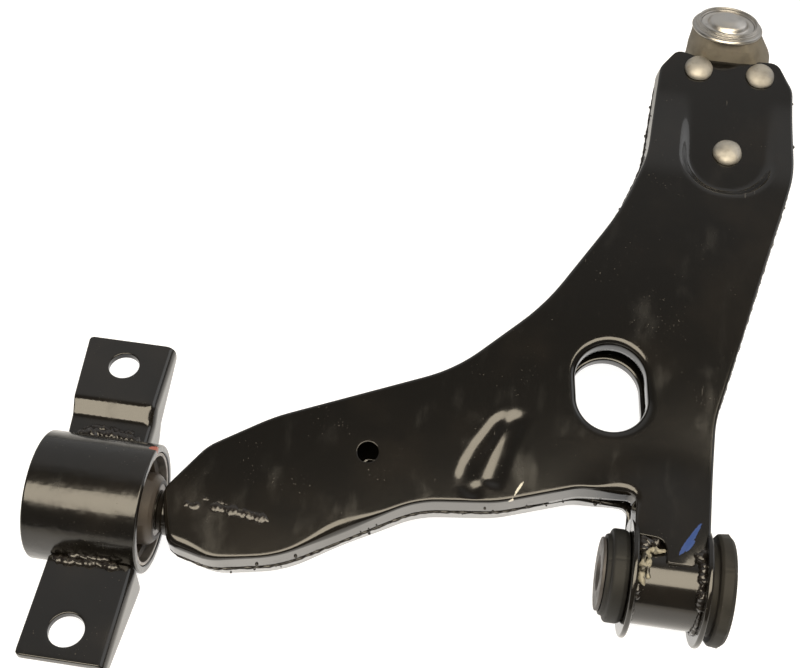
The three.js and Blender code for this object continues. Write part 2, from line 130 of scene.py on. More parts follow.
# Shallow steps that the press left in the flat: a curve, then drop, width and recovery.
LEAF_STEPS = [
    ([(-88, 22), (-93.5, 23.5), (-98.5, 26.5), (-100, 32), (-98.6, 39), (-94.7, 48.5), (-87.5, 61.5),
      (-79, 70)], 0.55, 3.8, 9),
    ([(-87.4, 30), (-86, 36), (-83.6, 45.8), (-81.3, 56), (-77, 71)], 0.6, 4.2, 9),
]
DRAFT = {"shoulder": 0.2, "foot": 1.2}
PAD = {"x": 15.5, "y": 201.3, "half_width": 22.0, "corner": 21.0, "slope": 6.5}
SLOT = {"x": -33.0, "y": 87.0, "width": 34.0, "length": 44.0, "lean": 8.0, "depth": 9.0, "lip": 3.6}
GAUGE_HOLE = {"x": -143.0, "y": 37.8, "radius": 5.0, "lower_radius": 3.0}
TUBE_R = radius_of("front_bush_tube")
SPIGOT_R = radius_of("rear_spigot")

# ---- Outlines -----------------------------------------------------------------------------------------


def smoothstep(low, high, value):
    t = np.clip((value - low) / (high - low), 0.0, 1.0)
    return t * t * (3 - 2 * t)


def arc_corners(corners, step=math.radians(6)):
    """Points of a closed outline with a tangent arc at each (x, y, radius) corner."""
    points = []
    for i, (x, y, radius) in enumerate(corners):
        corner = Vector((x, y))
        back = (Vector(corners[i - 1][:2]) - corner).normalized()
        ahead = (Vector(corners[(i + 1) % len(corners)][:2]) - corner).normalized()
        half = back.angle(ahead) / 2
        if radius <= 0 or half > math.radians(89.5):
            points.append(corner)
            continue
        centre = corner + (back + ahead).normalized() * (radius / math.sin(half))
        start = corner + back * (radius / math.tan(half)) - centre
        bend = math.pi - 2 * half
        sign = 1 if back.x * ahead.y - back.y * ahead.x < 0 else -1
        steps = max(1, math.ceil(bend / step))
        for k in range(steps + 1):
            turn = Matrix.Rotation(sign * bend * k / steps, 2)
            points.append(turn @ start + centre)
    return np.array([p[:] for p in points])


def resample(points, spacing):
    """The same closed outline with evenly spaced points."""
    closed = np.vstack([points, points[:1]])
    lengths = np.r_[0, np.cumsum(np.linalg.norm(np.diff(closed, axis=0), axis=1))]
    count = round(lengths[-1] / spacing)
    at = np.arange(count) * lengths[-1] / count
    return np.column_stack([np.interp(at, lengths, closed[:, i]) for i in range(closed.shape[1])])


def resample_open(corners, spacing):
    """An open line through (a, b, corner radius) corners, with evenly spaced points."""
    points = [Vector(corners[0][:2])]
    for before, (x, y, radius), after in zip(corners, corners[1:], corners[2:]):
        corner = Vector((x, y))
        back = (Vector(before[:2]) - corner).normalized()
        ahead = (Vector(after[:2]) - corner).normalized()
        half = back.angle(ahead) / 2
        reach = radius / math.tan(half)
        for t in np.linspace(0, 1, 9):
            points.append(corner + back * reach * (1 - t) ** 2 + ahead * reach * t ** 2)
    points.append(Vector(corners[-1][:2]))
    points = np.array([p[:] for p in points])
    lengths = np.r_[0, np.cumsum(np.linalg.norm(np.diff(points, axis=0), axis=1))]
    at = np.linspace(0, lengths[-1], max(2, round(lengths[-1] / spacing)))
    return np.column_stack([np.interp(at, lengths, points[:, i]) for i in range(2)])


def inward_normals(loop):
    """Unit normals to the left of an anticlockwise loop."""
    tangent = np.roll(loop, -1, axis=0) - np.roll(loop, 1, axis=0)
    tangent /= np.linalg.norm(tangent, axis=1)[:, None]
    return np.column_stack([-tangent[:, 1], tangent[:, 0]])


def inside(points, loop):
    """True for the points within a closed loop."""
    x, y = points[:, :1], points[:, 1:]
    x0, y0 = loop.T
    x1, y1 = np.roll(loop, -1, axis=0).T
    crosses = (y0 > y) != (y1 > y)
    with np.errstate(divide="ignore", invalid="ignore"):
        edge_x = x0 + (y - y0) * (x1 - x0) / (y1 - y0)
    return (crosses & (x < edge_x)).sum(axis=1) % 2 == 1


def arm_outline():
    """The arm's outline as an even loop of points."""
    return resample(arc_corners(ARM_CORNERS, math.radians(3)), 2.0)


def circle(x, y, radius, count):
    turn = np.linspace(0, 2 * math.pi, count, endpoint=False)
    return np.column_stack([x + radius * np.cos(turn), y + radius * np.sin(turn)])


def obround(shape, grow, count=80):
    """The slot's outline, grown by a distance."""
    radius = shape["width"] / 2 + grow
    straight = (shape["length"] - shape["width"]) / 2
    loop = circle(0, 0, radius, count)
    loop[:, 1] += np.where(loop[:, 1] >= 0, straight, -straight)
    lean = math.radians(shape["lean"])
    turn = np.array([[math.cos(lean), math.sin(lean)], [-math.sin(lean), math.cos(lean)]])
    return loop @ turn + (shape["x"], shape["y"])


def fill(outer, holes, spacing):
    """Triangles over the region between loops. The loops' points come first, in order."""
    loops = [outer, *holes]
    low, high = outer.min(0), outer.max(0)
    columns = np.arange(low[0], high[0], spacing)
    rows = np.arange(low[1], high[1], spacing * math.sqrt(3) / 2)
    grid = np.array([(x + spacing / 2 * (k % 2), y) for k, y in enumerate(rows) for x in columns])
    keep = inside(grid, outer)
    for hole in holes:
        keep &= ~inside(grid, hole)
    grid = grid[keep]
    border = np.vstack(loops)
    clear = np.array([np.min(np.sum((border - p) ** 2, axis=1)) > (0.6 * spacing) ** 2 for p in grid])
    points = np.vstack([border, grid[clear]])
    edges = []
    first = 0
    for loop in loops:
        edges += [(first + k, first + (k + 1) % len(loop)) for k in range(len(loop))]
        first += len(loop)
    flat = [Vector(p) for p in points]
    _, _, faces, origins, _, _ = delaunay_2d_cdt(flat, edges, [], 0, 1e-6)
    faces = np.array([[origins[v][0] for v in face] for face in faces])
    centres = points[faces].mean(axis=1)
    keep = inside(centres, outer)
    for hole in holes:
        keep &= ~inside(centres, hole)
    return points, faces[keep]


# ---- Meshes -------------------------------------------------------------------------------------------


def link_object(name, data):
    obj = bpy.data.objects.new(name, data)
    bpy.context.scene.collection.objects.link(obj)
    return obj


def object_from(build, name):
    """A smooth-shaded object made from a bmesh, which is freed."""
    mesh = bpy.data.meshes.new(name)
    build.to_mesh(mesh)
    build.free()
    mesh.shade_smooth()
    return link_object(name, mesh)


def make_object(name, points, faces, local_frame):
    """A smooth-shaded mesh object whose vertices are stored in the row frame."""
    mesh = bpy.data.meshes.new(name)
    mesh.from_pydata([local_frame @ Vector(p) for p in points], [], [list(map(int, f)) for f in faces])
    mesh.update()
    mesh.shade_smooth()
    return link_object(name, mesh)


def add_modifier(obj, kind, **settings):
    modifier = obj.modifiers.new(kind.lower(), kind)
    for key, value in settings.items():
        setattr(modifier, key, value)


def weight_normals(obj):
    """Flat faces stay flat and the rounded edges between them take up the turn."""
    add_modifier(obj, "WEIGHTED_NORMAL", keep_sharp=True)


def bridge(first, second, count, faces):
    """Quads between two rings of the same count, which start at two vertex numbers."""
    for k in range(count):
        after = (k + 1) % count
        faces.append((first + k, first + after, second + after, second + k))


def turned(name, profile, local_frame, segments=96, step=math.radians(18), wobble=None):
    """A solid of revolution about a local Z axis, from the (radius, height, corner radius) corners of its
    closed profile. wobble(turn, radius, height) may move a point of the surface outwards."""
    section = arc_corners(profile, step)
    area = np.sum(section[:, 0] * np.roll(section[:, 1], -1) - np.roll(section[:, 0], -1) * section[:, 1])
    if area < 0:
        section = section[::-1]
    build = bmesh.new()
    rings = []
    for k in range(segments):
        turn = 2 * math.pi * k / segments
        ring = []
        for radius, height in section:
            out = radius + (wobble(turn, radius, height) if wobble and radius > 0 else 0)
            place = (out * math.cos(turn), out * math.sin(turn), height)
            ring.append(build.verts.new(local_frame @ Vector(place)))
        rings.append(ring)
    for k in range(segments):
        here, there = rings[k], rings[(k + 1) % segments]
        for i in range(len(section)):
            j = (i + 1) % len(section)
            if max(section[i][0], section[j][0]) > 1e-6:
                build.faces.new((here[i], there[i], there[j], here[j]))
    bmesh.ops.remove_doubles(build, verts=build.verts, dist=1e-7)
    loose = [v for v in build.verts if not v.link_faces]
    bmesh.ops.delete(build, geom=loose, context="VERTS")
    obj = object_from(build, name)
    weight_normals(obj)
    return obj


# The lumps of a weld bead: share of its radius, length in millimetres, and waves round the bar.
BEAD_WAVES = ((0.05, 2.6, 0), (0.11, 7.5, 0), (0.08, 13.0, 0), (0.08, 5.3, 2), (0.06, 3.7, 3))


def sweep(name, path, radius, local_frame, lumps, seed, sides=14, squash=0.8, up=(0, 0, 1)):
    """A weld bead: a lumpy bar with ripples across it, along a path of points."""
    chance = random.Random(seed)
    points = np.array(path, float)
    lengths = np.r_[0, np.cumsum(np.linalg.norm(np.diff(points, axis=0), axis=1))]
    count = max(8, int(lengths[-1] / 0.5))
    at = np.linspace(0, lengths[-1], count)
    centre = np.column_stack([np.interp(at, lengths, points[:, i]) for i in range(3)])
    tangent = np.gradient(centre, axis=0)
    tangent /= np.linalg.norm(tangent, axis=1)[:, None]
    side = np.cross(tangent, np.array(up, float))
    side /= np.linalg.norm(side, axis=1)[:, None]
    above = np.cross(side, tangent)
    waves = [(share, chance.uniform(0.8, 1.2) * length, chance.uniform(0, 2 * math.pi), round_the_bar)
             for share, length, round_the_bar in BEAD_WAVES]
    turns = np.linspace(0, 2 * math.pi, sides, endpoint=False)
    end = np.sqrt(np.maximum(0.02, 1 - np.linspace(-1, 1, count) ** 8))
    out = np.ones((count, sides))
    for share, length, phase, round_the_bar in waves:
        out += lumps * share * np.sin(2 * math.pi * at[:, None] / length + phase + round_the_bar * turns)
    out *= radius * end[:, None]
    across = side[:, None] * (out * np.cos(turns))[:, :, None]
    upward = above[:, None] * (out * np.sin(turns))[:, :, None] * squash
    verts = (centre[:, None] + across + upward).reshape(-1, 3)
    faces = []
    for k in range(count - 1):
        bridge(k * sides, (k + 1) * sides, sides, faces)
    faces.append(list(range(sides))[::-1])
    faces.append(list(range((count - 1) * sides, count * sides)))
    obj = make_object(name, verts, faces, local_frame)
    outward(obj)
    return obj


def make_plate(name, outer, holes, thickness, edge, spacing, place, local_frame):
    """A plate with rounded edges. place puts the (u, v, height) points of the flat blank in space."""
    turns = np.linspace(0, math.pi / 2, 4)
    section = [(edge * (1 - math.sin(t)), -edge * (1 - math.cos(t))) for t in turns]
    section += [(back, -thickness - height) for back, height in reversed(section)]
    loops = [outer, *holes]
    into = [inward_normals(outer), *(-inward_normals(hole) for hole in holes)]
    top, triangles = fill(outer + into[0] * edge, [h + n * edge for h, n in zip(holes, into[1:])], spacing)
    points = [np.column_stack([top, np.full(len(top), height)]) for height in (0, -thickness)]
    faces = [*triangles, *(triangles[:, ::-1] + len(top))]
    count = 2 * len(top)
    first = 0
    for loop, normal in zip(loops, into):
        before = first
        for back, height in section[1:-1]:
            points.append(np.column_stack([loop + normal * back, np.full(len(loop), height)]))
            bridge(before, count, len(loop), faces)
            before = count
            count += len(loop)
        bridge(before, len(top) + first, len(loop), faces)
        first += len(loop)
    obj = make_object(name, place(np.vstack(points)), faces, local_frame)
    outward(obj)
    weight_normals(obj)
    return obj


def outward(obj):
    """Turns every face of a closed mesh outwards."""
    build = bmesh.new()
    build.from_mesh(obj.data)
    bmesh.ops.recalc_face_normals(build, faces=build.faces)
    build.to_mesh(obj.data)
    build.free()


# ---- Materials ----------------------------------------------------------------------------------------


def map_range(tree, value, limits, interpolation="SMOOTHSTEP"):
    """Maps a value from one range to another. The limits are from low, from high, to low and to high."""
    node = tree.nodes.new("ShaderNodeMapRange")
    node.interpolation_type = interpolation
    tree.links.new(value, node.inputs["Value"])
    for key, number in zip(("From Min", "From Max", "To Min", "To Max"), limits):
        node.inputs[key].default_value = number
    return node.outputs[0]


class Finish:
    """A principled material and short ways to add procedural nodes to it."""

    def __init__(self, name, color, roughness, metallic=0.0):
        self.material = bpy.data.materials.new(name)
        self.material.use_nodes = True
        self.tree = self.material.node_tree
        self.shader = self.tree.nodes["Principled BSDF"]
        self.shader.inputs["Metallic"].default_value = metallic
        self.place = self.tree.nodes.new("ShaderNodeTexCoord").outputs["Object"]
        self.color = self.rgb(color)
        self.roughness = self.value(roughness)
        self.normal = None

    def node(self, kind, **inputs):
        node = self.tree.nodes.new(kind)
        for key, value in inputs.items():
            socket = node.inputs[key.replace("_", " ")]
            if isinstance(value, bpy.types.NodeSocket):
                self.tree.links.new(value, socket)
            else:
                socket.default_value = value
        return node

    def rgb(self, color):
        node = self.tree.nodes.new("ShaderNodeRGB")
        node.outputs[0].default_value = (*color, 1)
        return node.outputs[0]

    def value(self, number):
        node = self.tree.nodes.new("ShaderNodeValue")
        node.outputs[0].default_value = number
        return node.outputs[0]

    def math(self, operation, a, b=0.0):
        node = self.tree.nodes.new("ShaderNodeMath")
        node.operation = operation
        for socket, value in zip(node.inputs, (a, b)):
            if isinstance(value, bpy.types.NodeSocket):
                self.tree.links.new(value, socket)
            else:
                socket.default_value = value
        return node.outputs[0]

    def vector_math(self, operation, vector, other=None):
        node = self.node("ShaderNodeVectorMath", Vector=vector)
        node.operation = operation
        if other is not None:
            node.inputs[1].default_value = other
        return node

    def noise(self, size, detail, stretch=(1, 1, 1)):
        """Noise whose features are about size metres wide."""
        mapping = self.node("ShaderNodeMapping", Vector=self.place, Scale=stretch)
        node = self.node("ShaderNodeTexNoise", Vector=mapping.outputs[0], Scale=1 / size, Detail=detail)
        return node.outputs[0]

    def between(self, value, low, high, to_low=0.0, to_high=1.0):
        return map_range(self.tree, value, (low, high, to_low, to_high))

    def tint(self, mask, color, strength=1.0):
        """Mixes a colour in where the mask is 1."""
        node = self.tree.nodes.new("ShaderNodeMix")
        node.data_type = "RGBA"
        self.tree.links.new(self.math("MULTIPLY", mask, strength), node.inputs[0])
        self.tree.links.new(self.color, node.inputs[6])
        node.inputs[7].default_value = (*color, 1)
        self.color = node.outputs[2]

    def rougher(self, mask, amount):
        self.roughness = self.math("ADD", self.roughness, self.math("MULTIPLY", mask, amount))

    def bump(self, height, distance, strength=1.0):
        node = self.node("ShaderNodeBump", Height=height, Distance=distance, Strength=strength)
        if self.normal is not None:
            self.tree.links.new(self.normal, node.inputs["Normal"])
        self.normal = node.outputs[0]

    def streak(self, start, end, width, ragged=0.3):
        """A mask that is 1 along a painted stroke between two points of the row frame."""
        along = end - start
        offset = self.vector_math("SUBTRACT", self.place, (start + end) / 2).outputs[0]
        lengthwise = self.vector_math("DOT_PRODUCT", offset, along.normalized()).outputs["Value"]
        length = self.vector_math("LENGTH", offset).outputs["Value"]
        square = self.math("SUBTRACT", self.math("MULTIPLY", length, length),
                           self.math("MULTIPLY", lengthwise, lengthwise))
        across = self.math("SQRT", self.math("MAXIMUM", square, 0.0))
        u = self.math("DIVIDE", lengthwise, along.length / 2)
        v = self.math("DIVIDE", across, width / 2)
        reach = self.math("ADD", self.math("MULTIPLY", u, u), self.math("MULTIPLY", v, v))
        ragged_edge = self.math("MULTIPLY", self.noise(width * 0.5, 4), ragged * 4)
        fade = (1.0 + ragged * 1.6, 1.0 + ragged * 2.4)
        return self.between(self.math("ADD", reach, ragged_edge), *fade, 1.0, 0.0)

    def done(self, **inputs):
        links = self.tree.links
        links.new(self.color, self.shader.inputs["Base Color"])
        links.new(self.roughness, self.shader.inputs["Roughness"])
        if self.normal is not None:
            links.new(self.normal, self.shader.inputs["Normal"])
        for key, value in inputs.items():
            self.shader.inputs[key.replace("_", " ")].default_value = value
        return self.material


def arm_point(x, y, z):
    """A point of the arm's own plane, in the row frame."""
    return ARM_FRAME @ Vector((x, y, z))


def pivot_point(x, y, z):
    return PIVOT_FRAME @ Vector((x, y, z))


def coat(name, marks=(), waves=0.00006, roughness=0.14):
    """Glossy black dip coat with dust, scuffs and, where given, painted marks (start, end, width, colour)."""
    finish = Finish(name, (0.0052, 0.0046, 0.0038), roughness)
    clouds = finish.noise(0.045, 4)
    finish.tint(finish.between(clouds, 0.45, 0.75), (0.014, 0.0115, 0.009), 0.6)
    smear = finish.between(finish.noise(0.012, 6, (1, 0.4, 1)), 0.52, 0.8)
    finish.rougher(smear, 0.16)
    dust = finish.between(finish.noise(0.0011, 2), 0.68, 0.76)
    dusty = finish.math("MULTIPLY", dust, finish.between(finish.noise(0.02, 2), 0.5, 0.65))
    finish.tint(dusty, (0.10, 0.09, 0.075), 0.5)
    finish.rougher(dusty, 0.35)
    scratch = finish.between(finish.noise(0.0016, 2, (1.0, 0.06, 1.0)), 0.70, 0.74)
    sparse = finish.math("MULTIPLY", scratch, finish.between(finish.noise(0.03, 2), 0.58, 0.68))
    finish.tint(sparse, (0.09, 0.085, 0.078), 0.55)
    for start, end, width, color in marks:
        mask = finish.streak(start, end, width)
        finish.tint(mask, color)
        finish.rougher(mask, 0.25)
    finish.bump(finish.noise(0.0022, 2), 0.00003, 0.35)
    finish.bump(finish.noise(0.009, 2), waves, 0.5)
    return finish.done(Coat_Weight=0.3, Coat_Roughness=0.05)


def weld_coat():
    """The same coat over rough weld metal, with specks of bare oxide."""
    finish = Finish("weld_coat", (0.012, 0.010, 0.009), 0.2)
    specks = finish.between(finish.noise(0.0015, 4), 0.58, 0.70)
    finish.tint(specks, (0.05, 0.045, 0.035), 0.6)
    finish.rougher(specks, 0.2)
    finish.bump(finish.noise(0.0014, 3), 0.0003, 0.6)
    return finish.done(Coat_Weight=0.3, Coat_Roughness=0.08)


def stained_weld():
    """A weld with pale yellow paint over most of it."""
    finish = Finish("stained_weld", (0.02, 0.018, 0.014), 0.25)
    patches = finish.between(finish.noise(0.0045, 4), 0.42, 0.56)
    finish.tint(patches, (0.30, 0.28, 0.22), 0.92)
    finish.rougher(patches, 0.2)
    finish.bump(finish.noise(0.0012, 3), 0.0003, 0.6)
    return finish.done()


def steel(name, color, roughness, grain, rust=0.15, metallic=1.0):
    """Bare steel with blotches, fine grain and a little brown oxide."""
    finish = Finish(name, color, roughness, metallic)
    dark = tuple(0.45 * c for c in color)
    finish.tint(finish.between(finish.noise(0.009, 5), 0.42, 0.72), dark, 0.55)
    finish.tint(finish.between(finish.noise(0.0035, 5), 0.56, 0.74), (0.16, 0.105, 0.06), rust)
    finish.rougher(finish.between(finish.noise(0.005, 4), 0.4, 0.7), 0.16)
    finish.bump(finish.noise(grain, 3), 0.00012, 0.35)
    return finish.done()


def turned_steel(name, color, roughness):
    """Machined steel: fine rings about a local axis show as a slight rise and fall of the roughness."""
    finish = Finish(name, color, roughness, 1.0)
    finish.tint(finish.between(finish.noise(0.006, 4), 0.5, 0.75), tuple(0.6 * c for c in color), 0.5)
    rings = finish.noise(0.0007, 2, (0.05, 0.05, 1.0))
    finish.rougher(finish.between(rings, 0.4, 0.6), 0.08)
    finish.bump(rings, 0.00004, 0.4)
    return finish.done()


def rubber(name, color, roughness=0.62):
    """Moulded rubber with a chalky bloom and fine mould texture."""
    finish = Finish(name, color, roughness)
    bloom = finish.between(finish.noise(0.014, 5), 0.45, 0.75)
    finish.tint(bloom, tuple(1.9 * c + 0.006 for c in color), 0.6)
    finish.rougher(bloom, 0.12)
    specks = finish.between(finish.noise(0.0009, 2), 0.70, 0.78)
    finish.tint(specks, (0.11, 0.10, 0.09), 0.35)
    finish.bump(finish.noise(0.0016, 3), 0.00012, 0.35)
    return finish.done(Specular_IOR_Level=0.35)


def bearing_plastic():
    finish = Finish("bearing_plastic", (0.72, 0.70, 0.62), 0.45)
    finish.tint(finish.between(finish.noise(0.006, 3), 0.5, 0.7), (0.55, 0.52, 0.43), 0.4)
    finish.bump(finish.noise(0.002, 2), 0.0001, 0.2)
    return finish.done()


BLUE = (0.004, 0.036, 0.18)
WHITE_SCUFF = (0.62, 0.60, 0.54)
ORANGE = (0.34, 0.06, 0.025)
SHELL_MARKS = [
    (arm_point(3.2, 8.8, 20.9), arm_point(10.8, 21.5, 18.9), 2.6 * MM, BLUE),
    (arm_point(5.6, 13.0, 20.3), arm_point(12.4, 25, 18.3), 1.9 * MM, BLUE),
    (arm_point(5.6, 10.5, 20.6), arm_point(9.6, 16.5, 19.6), 1.9 * MM, BLUE),
    (arm_point(-76.5, 19.4, 13), arm_point(-69.7, 33.8, 15), 1.8 * MM, WHITE_SCUFF),
]
CASING_MARKS = [(pivot_point(-243.5, 17, 25), pivot_point(-239.5, 19, 23), 5.0 * MM, ORANGE)]

MATERIALS = {
    "shell": coat("coat_shell", SHELL_MARKS),
    "casing": coat("coat_casing", CASING_MARKS, 0.0007, 0.2),
    "coat": coat("coat_plain"),
    "weld": weld_coat(),
    "stain": stained_weld(),
    "forged": steel("forged_steel", (0.21, 0.19, 0.155), 0.55, 0.0012, 0.2, 0.35),
    "machined": turned_steel("machined_steel", (0.50, 0.48, 0.45), 0.3),
    "cap": turned_steel("cap_steel", (0.62, 0.60, 0.57), 0.36),
    "stud": turned_steel("stud_steel", (0.50, 0.49, 0.47), 0.28),
    "rivet": steel("rivet_steel", (0.52, 0.50, 0.46), 0.58, 0.0009, 0.3),
    "washer": steel("washer_steel", (0.09, 0.085, 0.085), 0.5, 0.0012, 0.3, 0.4),
    "plated": steel("plated_steel", (0.33, 0.30, 0.315), 0.48, 0.0010, 0.1),
    "sleeve": steel("sleeve_steel", (0.40, 0.37, 0.34), 0.38, 0.0012, 0.3),
    "rubber": rubber("bush_rubber", (0.0125, 0.0125, 0.012)),
    # The front bush rubber is a browner copy of the bush rubber: its warm tint is a painted brownish sheen of
    # a highlight.
    "front_rubber_painted_sheen": rubber("front_bush_rubber", (0.0135, 0.0125, 0.0105)),
    "brown_rubber": rubber("rear_rubber", (0.058, 0.048, 0.040), 0.45),
    "boot": rubber("boot_rubber", (0.014, 0.014, 0.014), 0.5),
    "seat": bearing_plastic(),
}


def finish_piece(obj, material, slot, body, *nodes):
    """Gives a piece its material and says which body it rides on and which CAD nodes it stands for."""
    obj.data.materials.clear()
    obj.data.materials.append(MATERIALS[material])
    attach(obj, body)
    if nodes:
        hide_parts(*nodes)
    return obj


# ---- Pressed shells -----------------------------------------------------------------------------------


def neck_lift(points):
    """Rise of the neck towards the tube: a steady slope that starts in a soft bend."""
    nearer = (NECK_FROM - np.hypot(points[:, 0], points[:, 1])) / NECK_BEND
    return NECK_SLOPE * NECK_BEND * np.logaddexp(0, nearer)


def step_down(points, curve, drop, width, recovery):
    """A small step down to the right of a curve, which rises back to the flat within a distance."""
    curve = np.array(curve, float)
    nearest = np.full(len(points), np.inf)
    across = np.zeros(len(points))
    share = np.zeros(len(points))
    for k, (start, end) in enumerate(zip(curve, curve[1:])):
        along = end - start
        t = np.clip((points - start) @ along / (along @ along), 0, 1)
        offset = points - start - t[:, None] * along
        distance = np.linalg.norm(offset, axis=1)
        closer = distance < nearest
        nearest = np.where(closer, distance, nearest)
        side = np.sign(offset[:, 0] * along[1] - offset[:, 1] * along[0])
        across = np.where(closer, distance * side, across)
        share = np.where(closer, (k + t) / (len(curve) - 1), share)
    ends = smoothstep(0, 0.12, share) * smoothstep(1, 0.88, share)
    return drop * ends * smoothstep(-width / 2, width / 2, across) * smoothstep(recovery, width, across)


def pad_distance(points):
    """Distance outside the U-shaped pad round the rivets, negative inside."""
    corner = PAD["corner"]
    across = np.abs(points[:, 0] - PAD["x"]) - (PAD["half_width"] - corner)
    below = PAD["y"] + corner - points[:, 1]
    outside = np.hypot(np.maximum(across, 0), np.maximum(below, 0))
    return outside + np.minimum(np.maximum(across, below), 0) - corner


def skin_height(points):
    """Height of the shell's outer skin over the arm's middle plane."""
    height = SHELL_TOP + neck_lift(points)
    height -= (SHELL_TOP - PAD_TOP) * smoothstep(*END_TAPER, points[:, 1])
    pad = smoothstep(PAD["slope"] / 2, -PAD["slope"] / 2, pad_distance(points))
    height = height * (1 - pad) + PAD_TOP * pad
    for curve, drop, width, recovery in LEAF_STEPS:
        height -= step_down(points, curve, drop, width, recovery)
    return height


def wall_share(loop):
    """1 where the skin turns down into a wall, 0 where the sheet ends in a cut edge."""
    at_ball_joint = smoothstep(283, 274, loop[:, 1])
    at_tube = smoothstep(17, 25, loop[:, 1] + np.where(np.abs(loop[:, 0]) < 16.5, 0, 100))
    return at_ball_joint * at_tube


def shoulder_radius(loop):
    """Radius of the bend from the flat into the wall."""
    radius = np.full(len(loop), SHOULDER)
    for x, y, extra, reach in WIDE_SHOULDERS:
        radius += extra * np.exp(-((loop[:, 0] - x) ** 2 + (loop[:, 1] - y) ** 2) / reach ** 2)
    return radius


def wall_foot(loop):
    """Height at which the wall ends: near the middle plane, or on the bar or tube that it is welded to."""
    foot = 0.15 + NECK_OPENING * smoothstep(64, 30, np.hypot(loop[:, 0], loop[:, 1]))
    x, y = loop.T
    on_spigot = (x < -215) & (np.abs(y) < SPIGOT_R)
    foot = np.where(on_spigot, np.maximum(foot, np.sqrt(np.maximum(SPIGOT_R ** 2 - y ** 2, 0)) - 0.3), foot)
    on_tube = (np.abs(x) < 18) & (np.abs(y) < TUBE_R)
    return np.where(on_tube, np.maximum(foot, np.sqrt(np.maximum(TUBE_R ** 2 - y ** 2, 0)) - 2), foot)


def make_shell(name, node, side):
    """One pressed shell: walls, rounded shoulders, the embossed flat and a slot with a rolled-in flange."""
    loop = arm_outline()
    inward = inward_normals(loop)
    wall = wall_share(loop)
    radius = CUT_EDGE + (shoulder_radius(loop) - CUT_EDGE) * wall
    shoulder_foot = skin_height(loop) - radius
    cut_foot = skin_height(loop) - SHEET
    foot = np.minimum(wall * wall_foot(loop) + (1 - wall) * cut_foot, shoulder_foot - 0.2)
    rings = []
    for share in np.linspace(0, 1, 6):
        out = (DRAFT["foot"] + (DRAFT["shoulder"] - DRAFT["foot"]) * share) * wall
        rings.append(np.column_stack([loop - inward * out[:, None], foot + (shoulder_foot - foot) * share]))
    for turn in np.linspace(0, math.pi / 2, 8)[1:]:
        flat = loop + inward * (radius * (1 - math.cos(turn)) - DRAFT["shoulder"] * wall)[:, None]
        rings.append(np.column_stack([flat, skin_height(flat) - radius * (1 - math.sin(turn))]))
    flat = loop + inward * (radius + 0.8 - DRAFT["shoulder"] * wall)[:, None]
    rings.append(np.column_stack([flat, skin_height(flat)]))

    lip = SLOT["lip"]
    gauge = (GAUGE_HOLE["x"], GAUGE_HOLE["y"])
    soft = CUT_EDGE
    gauge_r = GAUGE_HOLE["radius"] if side > 0 else GAUGE_HOLE["lower_radius"]
    holes = [obround(SLOT, lip), circle(*gauge, gauge_r + soft, 40)]
    flat, triangles = fill(rings[-1][:, :2], holes, 1.7)

    points = [*np.vstack(rings[:-1])]
    faces = []
    count = len(loop)
    for k in range(len(rings) - 1):
        bridge(k * count, (k + 1) * count, count, faces)
    base = len(points)
    points += [*np.column_stack([flat, skin_height(flat)])]
    faces += [tuple(base + v for v in triangle) for triangle in triangles]

    def hole_rings(first, hole_count, ring_points):
        """Bridges from a hole's edge in the flat, down through further rings."""
        before = first
        for ring in ring_points:
            here = len(points)
            points.extend(ring)
            bridge(before, here, hole_count, faces)
            before = here

    slot_height = skin_height(np.array([[SLOT["x"], SLOT["y"]]]))[0]
    slot_rings = []
    for turn in np.linspace(0, math.pi / 2, 7)[1:]:
        edge = obround(SLOT, lip * (1 - math.sin(turn)))
        height = slot_height - lip * (1 - math.cos(turn))
        slot_rings.append(np.column_stack([edge, np.full(len(edge), height)]))
    for depth in np.linspace(lip, SLOT["depth"], 4)[1:]:
        edge = obround(SLOT, 0)
        slot_rings.append(np.column_stack([edge, np.full(len(edge), slot_height - depth)]))
    hole_rings(base + count, len(holes[0]), slot_rings)
    gauge_height = skin_height(np.array([gauge]))[0]
    gauge_rings = []
    for turn in np.linspace(0, math.pi / 2, 4)[1:]:
        edge = circle(*gauge, gauge_r + soft * (1 - math.sin(turn)), 40)
        gauge_rings.append(np.column_stack([edge, np.full(40, gauge_height - soft * (1 - math.cos(turn)))]))
    hole_rings(base + count + len(holes[0]), len(holes[1]), gauge_rings)

    points = np.array(points)
    points[:, 2] *= side
    if side < 0:
        faces = [face[::-1] for face in faces]
    obj = make_object(name, points, faces, ARM_FRAME)
    add_modifier(obj, "SOLIDIFY", thickness=SHEET * MM, offset=-1, use_even_offset=False)
    weight_normals(obj)
    return finish_piece(obj, "shell", "black_coat", "arm", node)


# ---- Welds --------------------------------------------------------------------------------------------


def seam_path():
    """Points along the joint between the two shells: the outline without the neck and the two ends."""
    loop = arm_outline()
    loop = loop - inward_normals(loop) * (DRAFT["foot"] - 0.3)
    closed = (np.hypot(loop[:, 0], loop[:, 1]) > 62) & (loop[:, 1] < 272)
    closed &= ~((loop[:, 0] < -224) & (np.abs(loop[:, 1]) < SPIGOT_R + 3))
    start = int(np.argmax(~closed & np.roll(closed, -1))) + 1
    loop, closed = np.roll(loop, -start, axis=0), np.roll(closed, -start)
    runs = []
    for point, is_closed in zip(loop, closed):
        if not is_closed:
            runs.append([])
        else:
            if not runs:
                runs.append([])
            runs[-1].append((point[0], point[1], 0.0))
    return [run for run in runs if len(run) > 10]


def on_tube(points, radius):
    """(x, angle in degrees up from outboard) points laid on a cylinder about the pivot axis."""
    return [(x, radius * math.cos(math.radians(a)), radius * math.sin(math.radians(a))) for x, a in points]


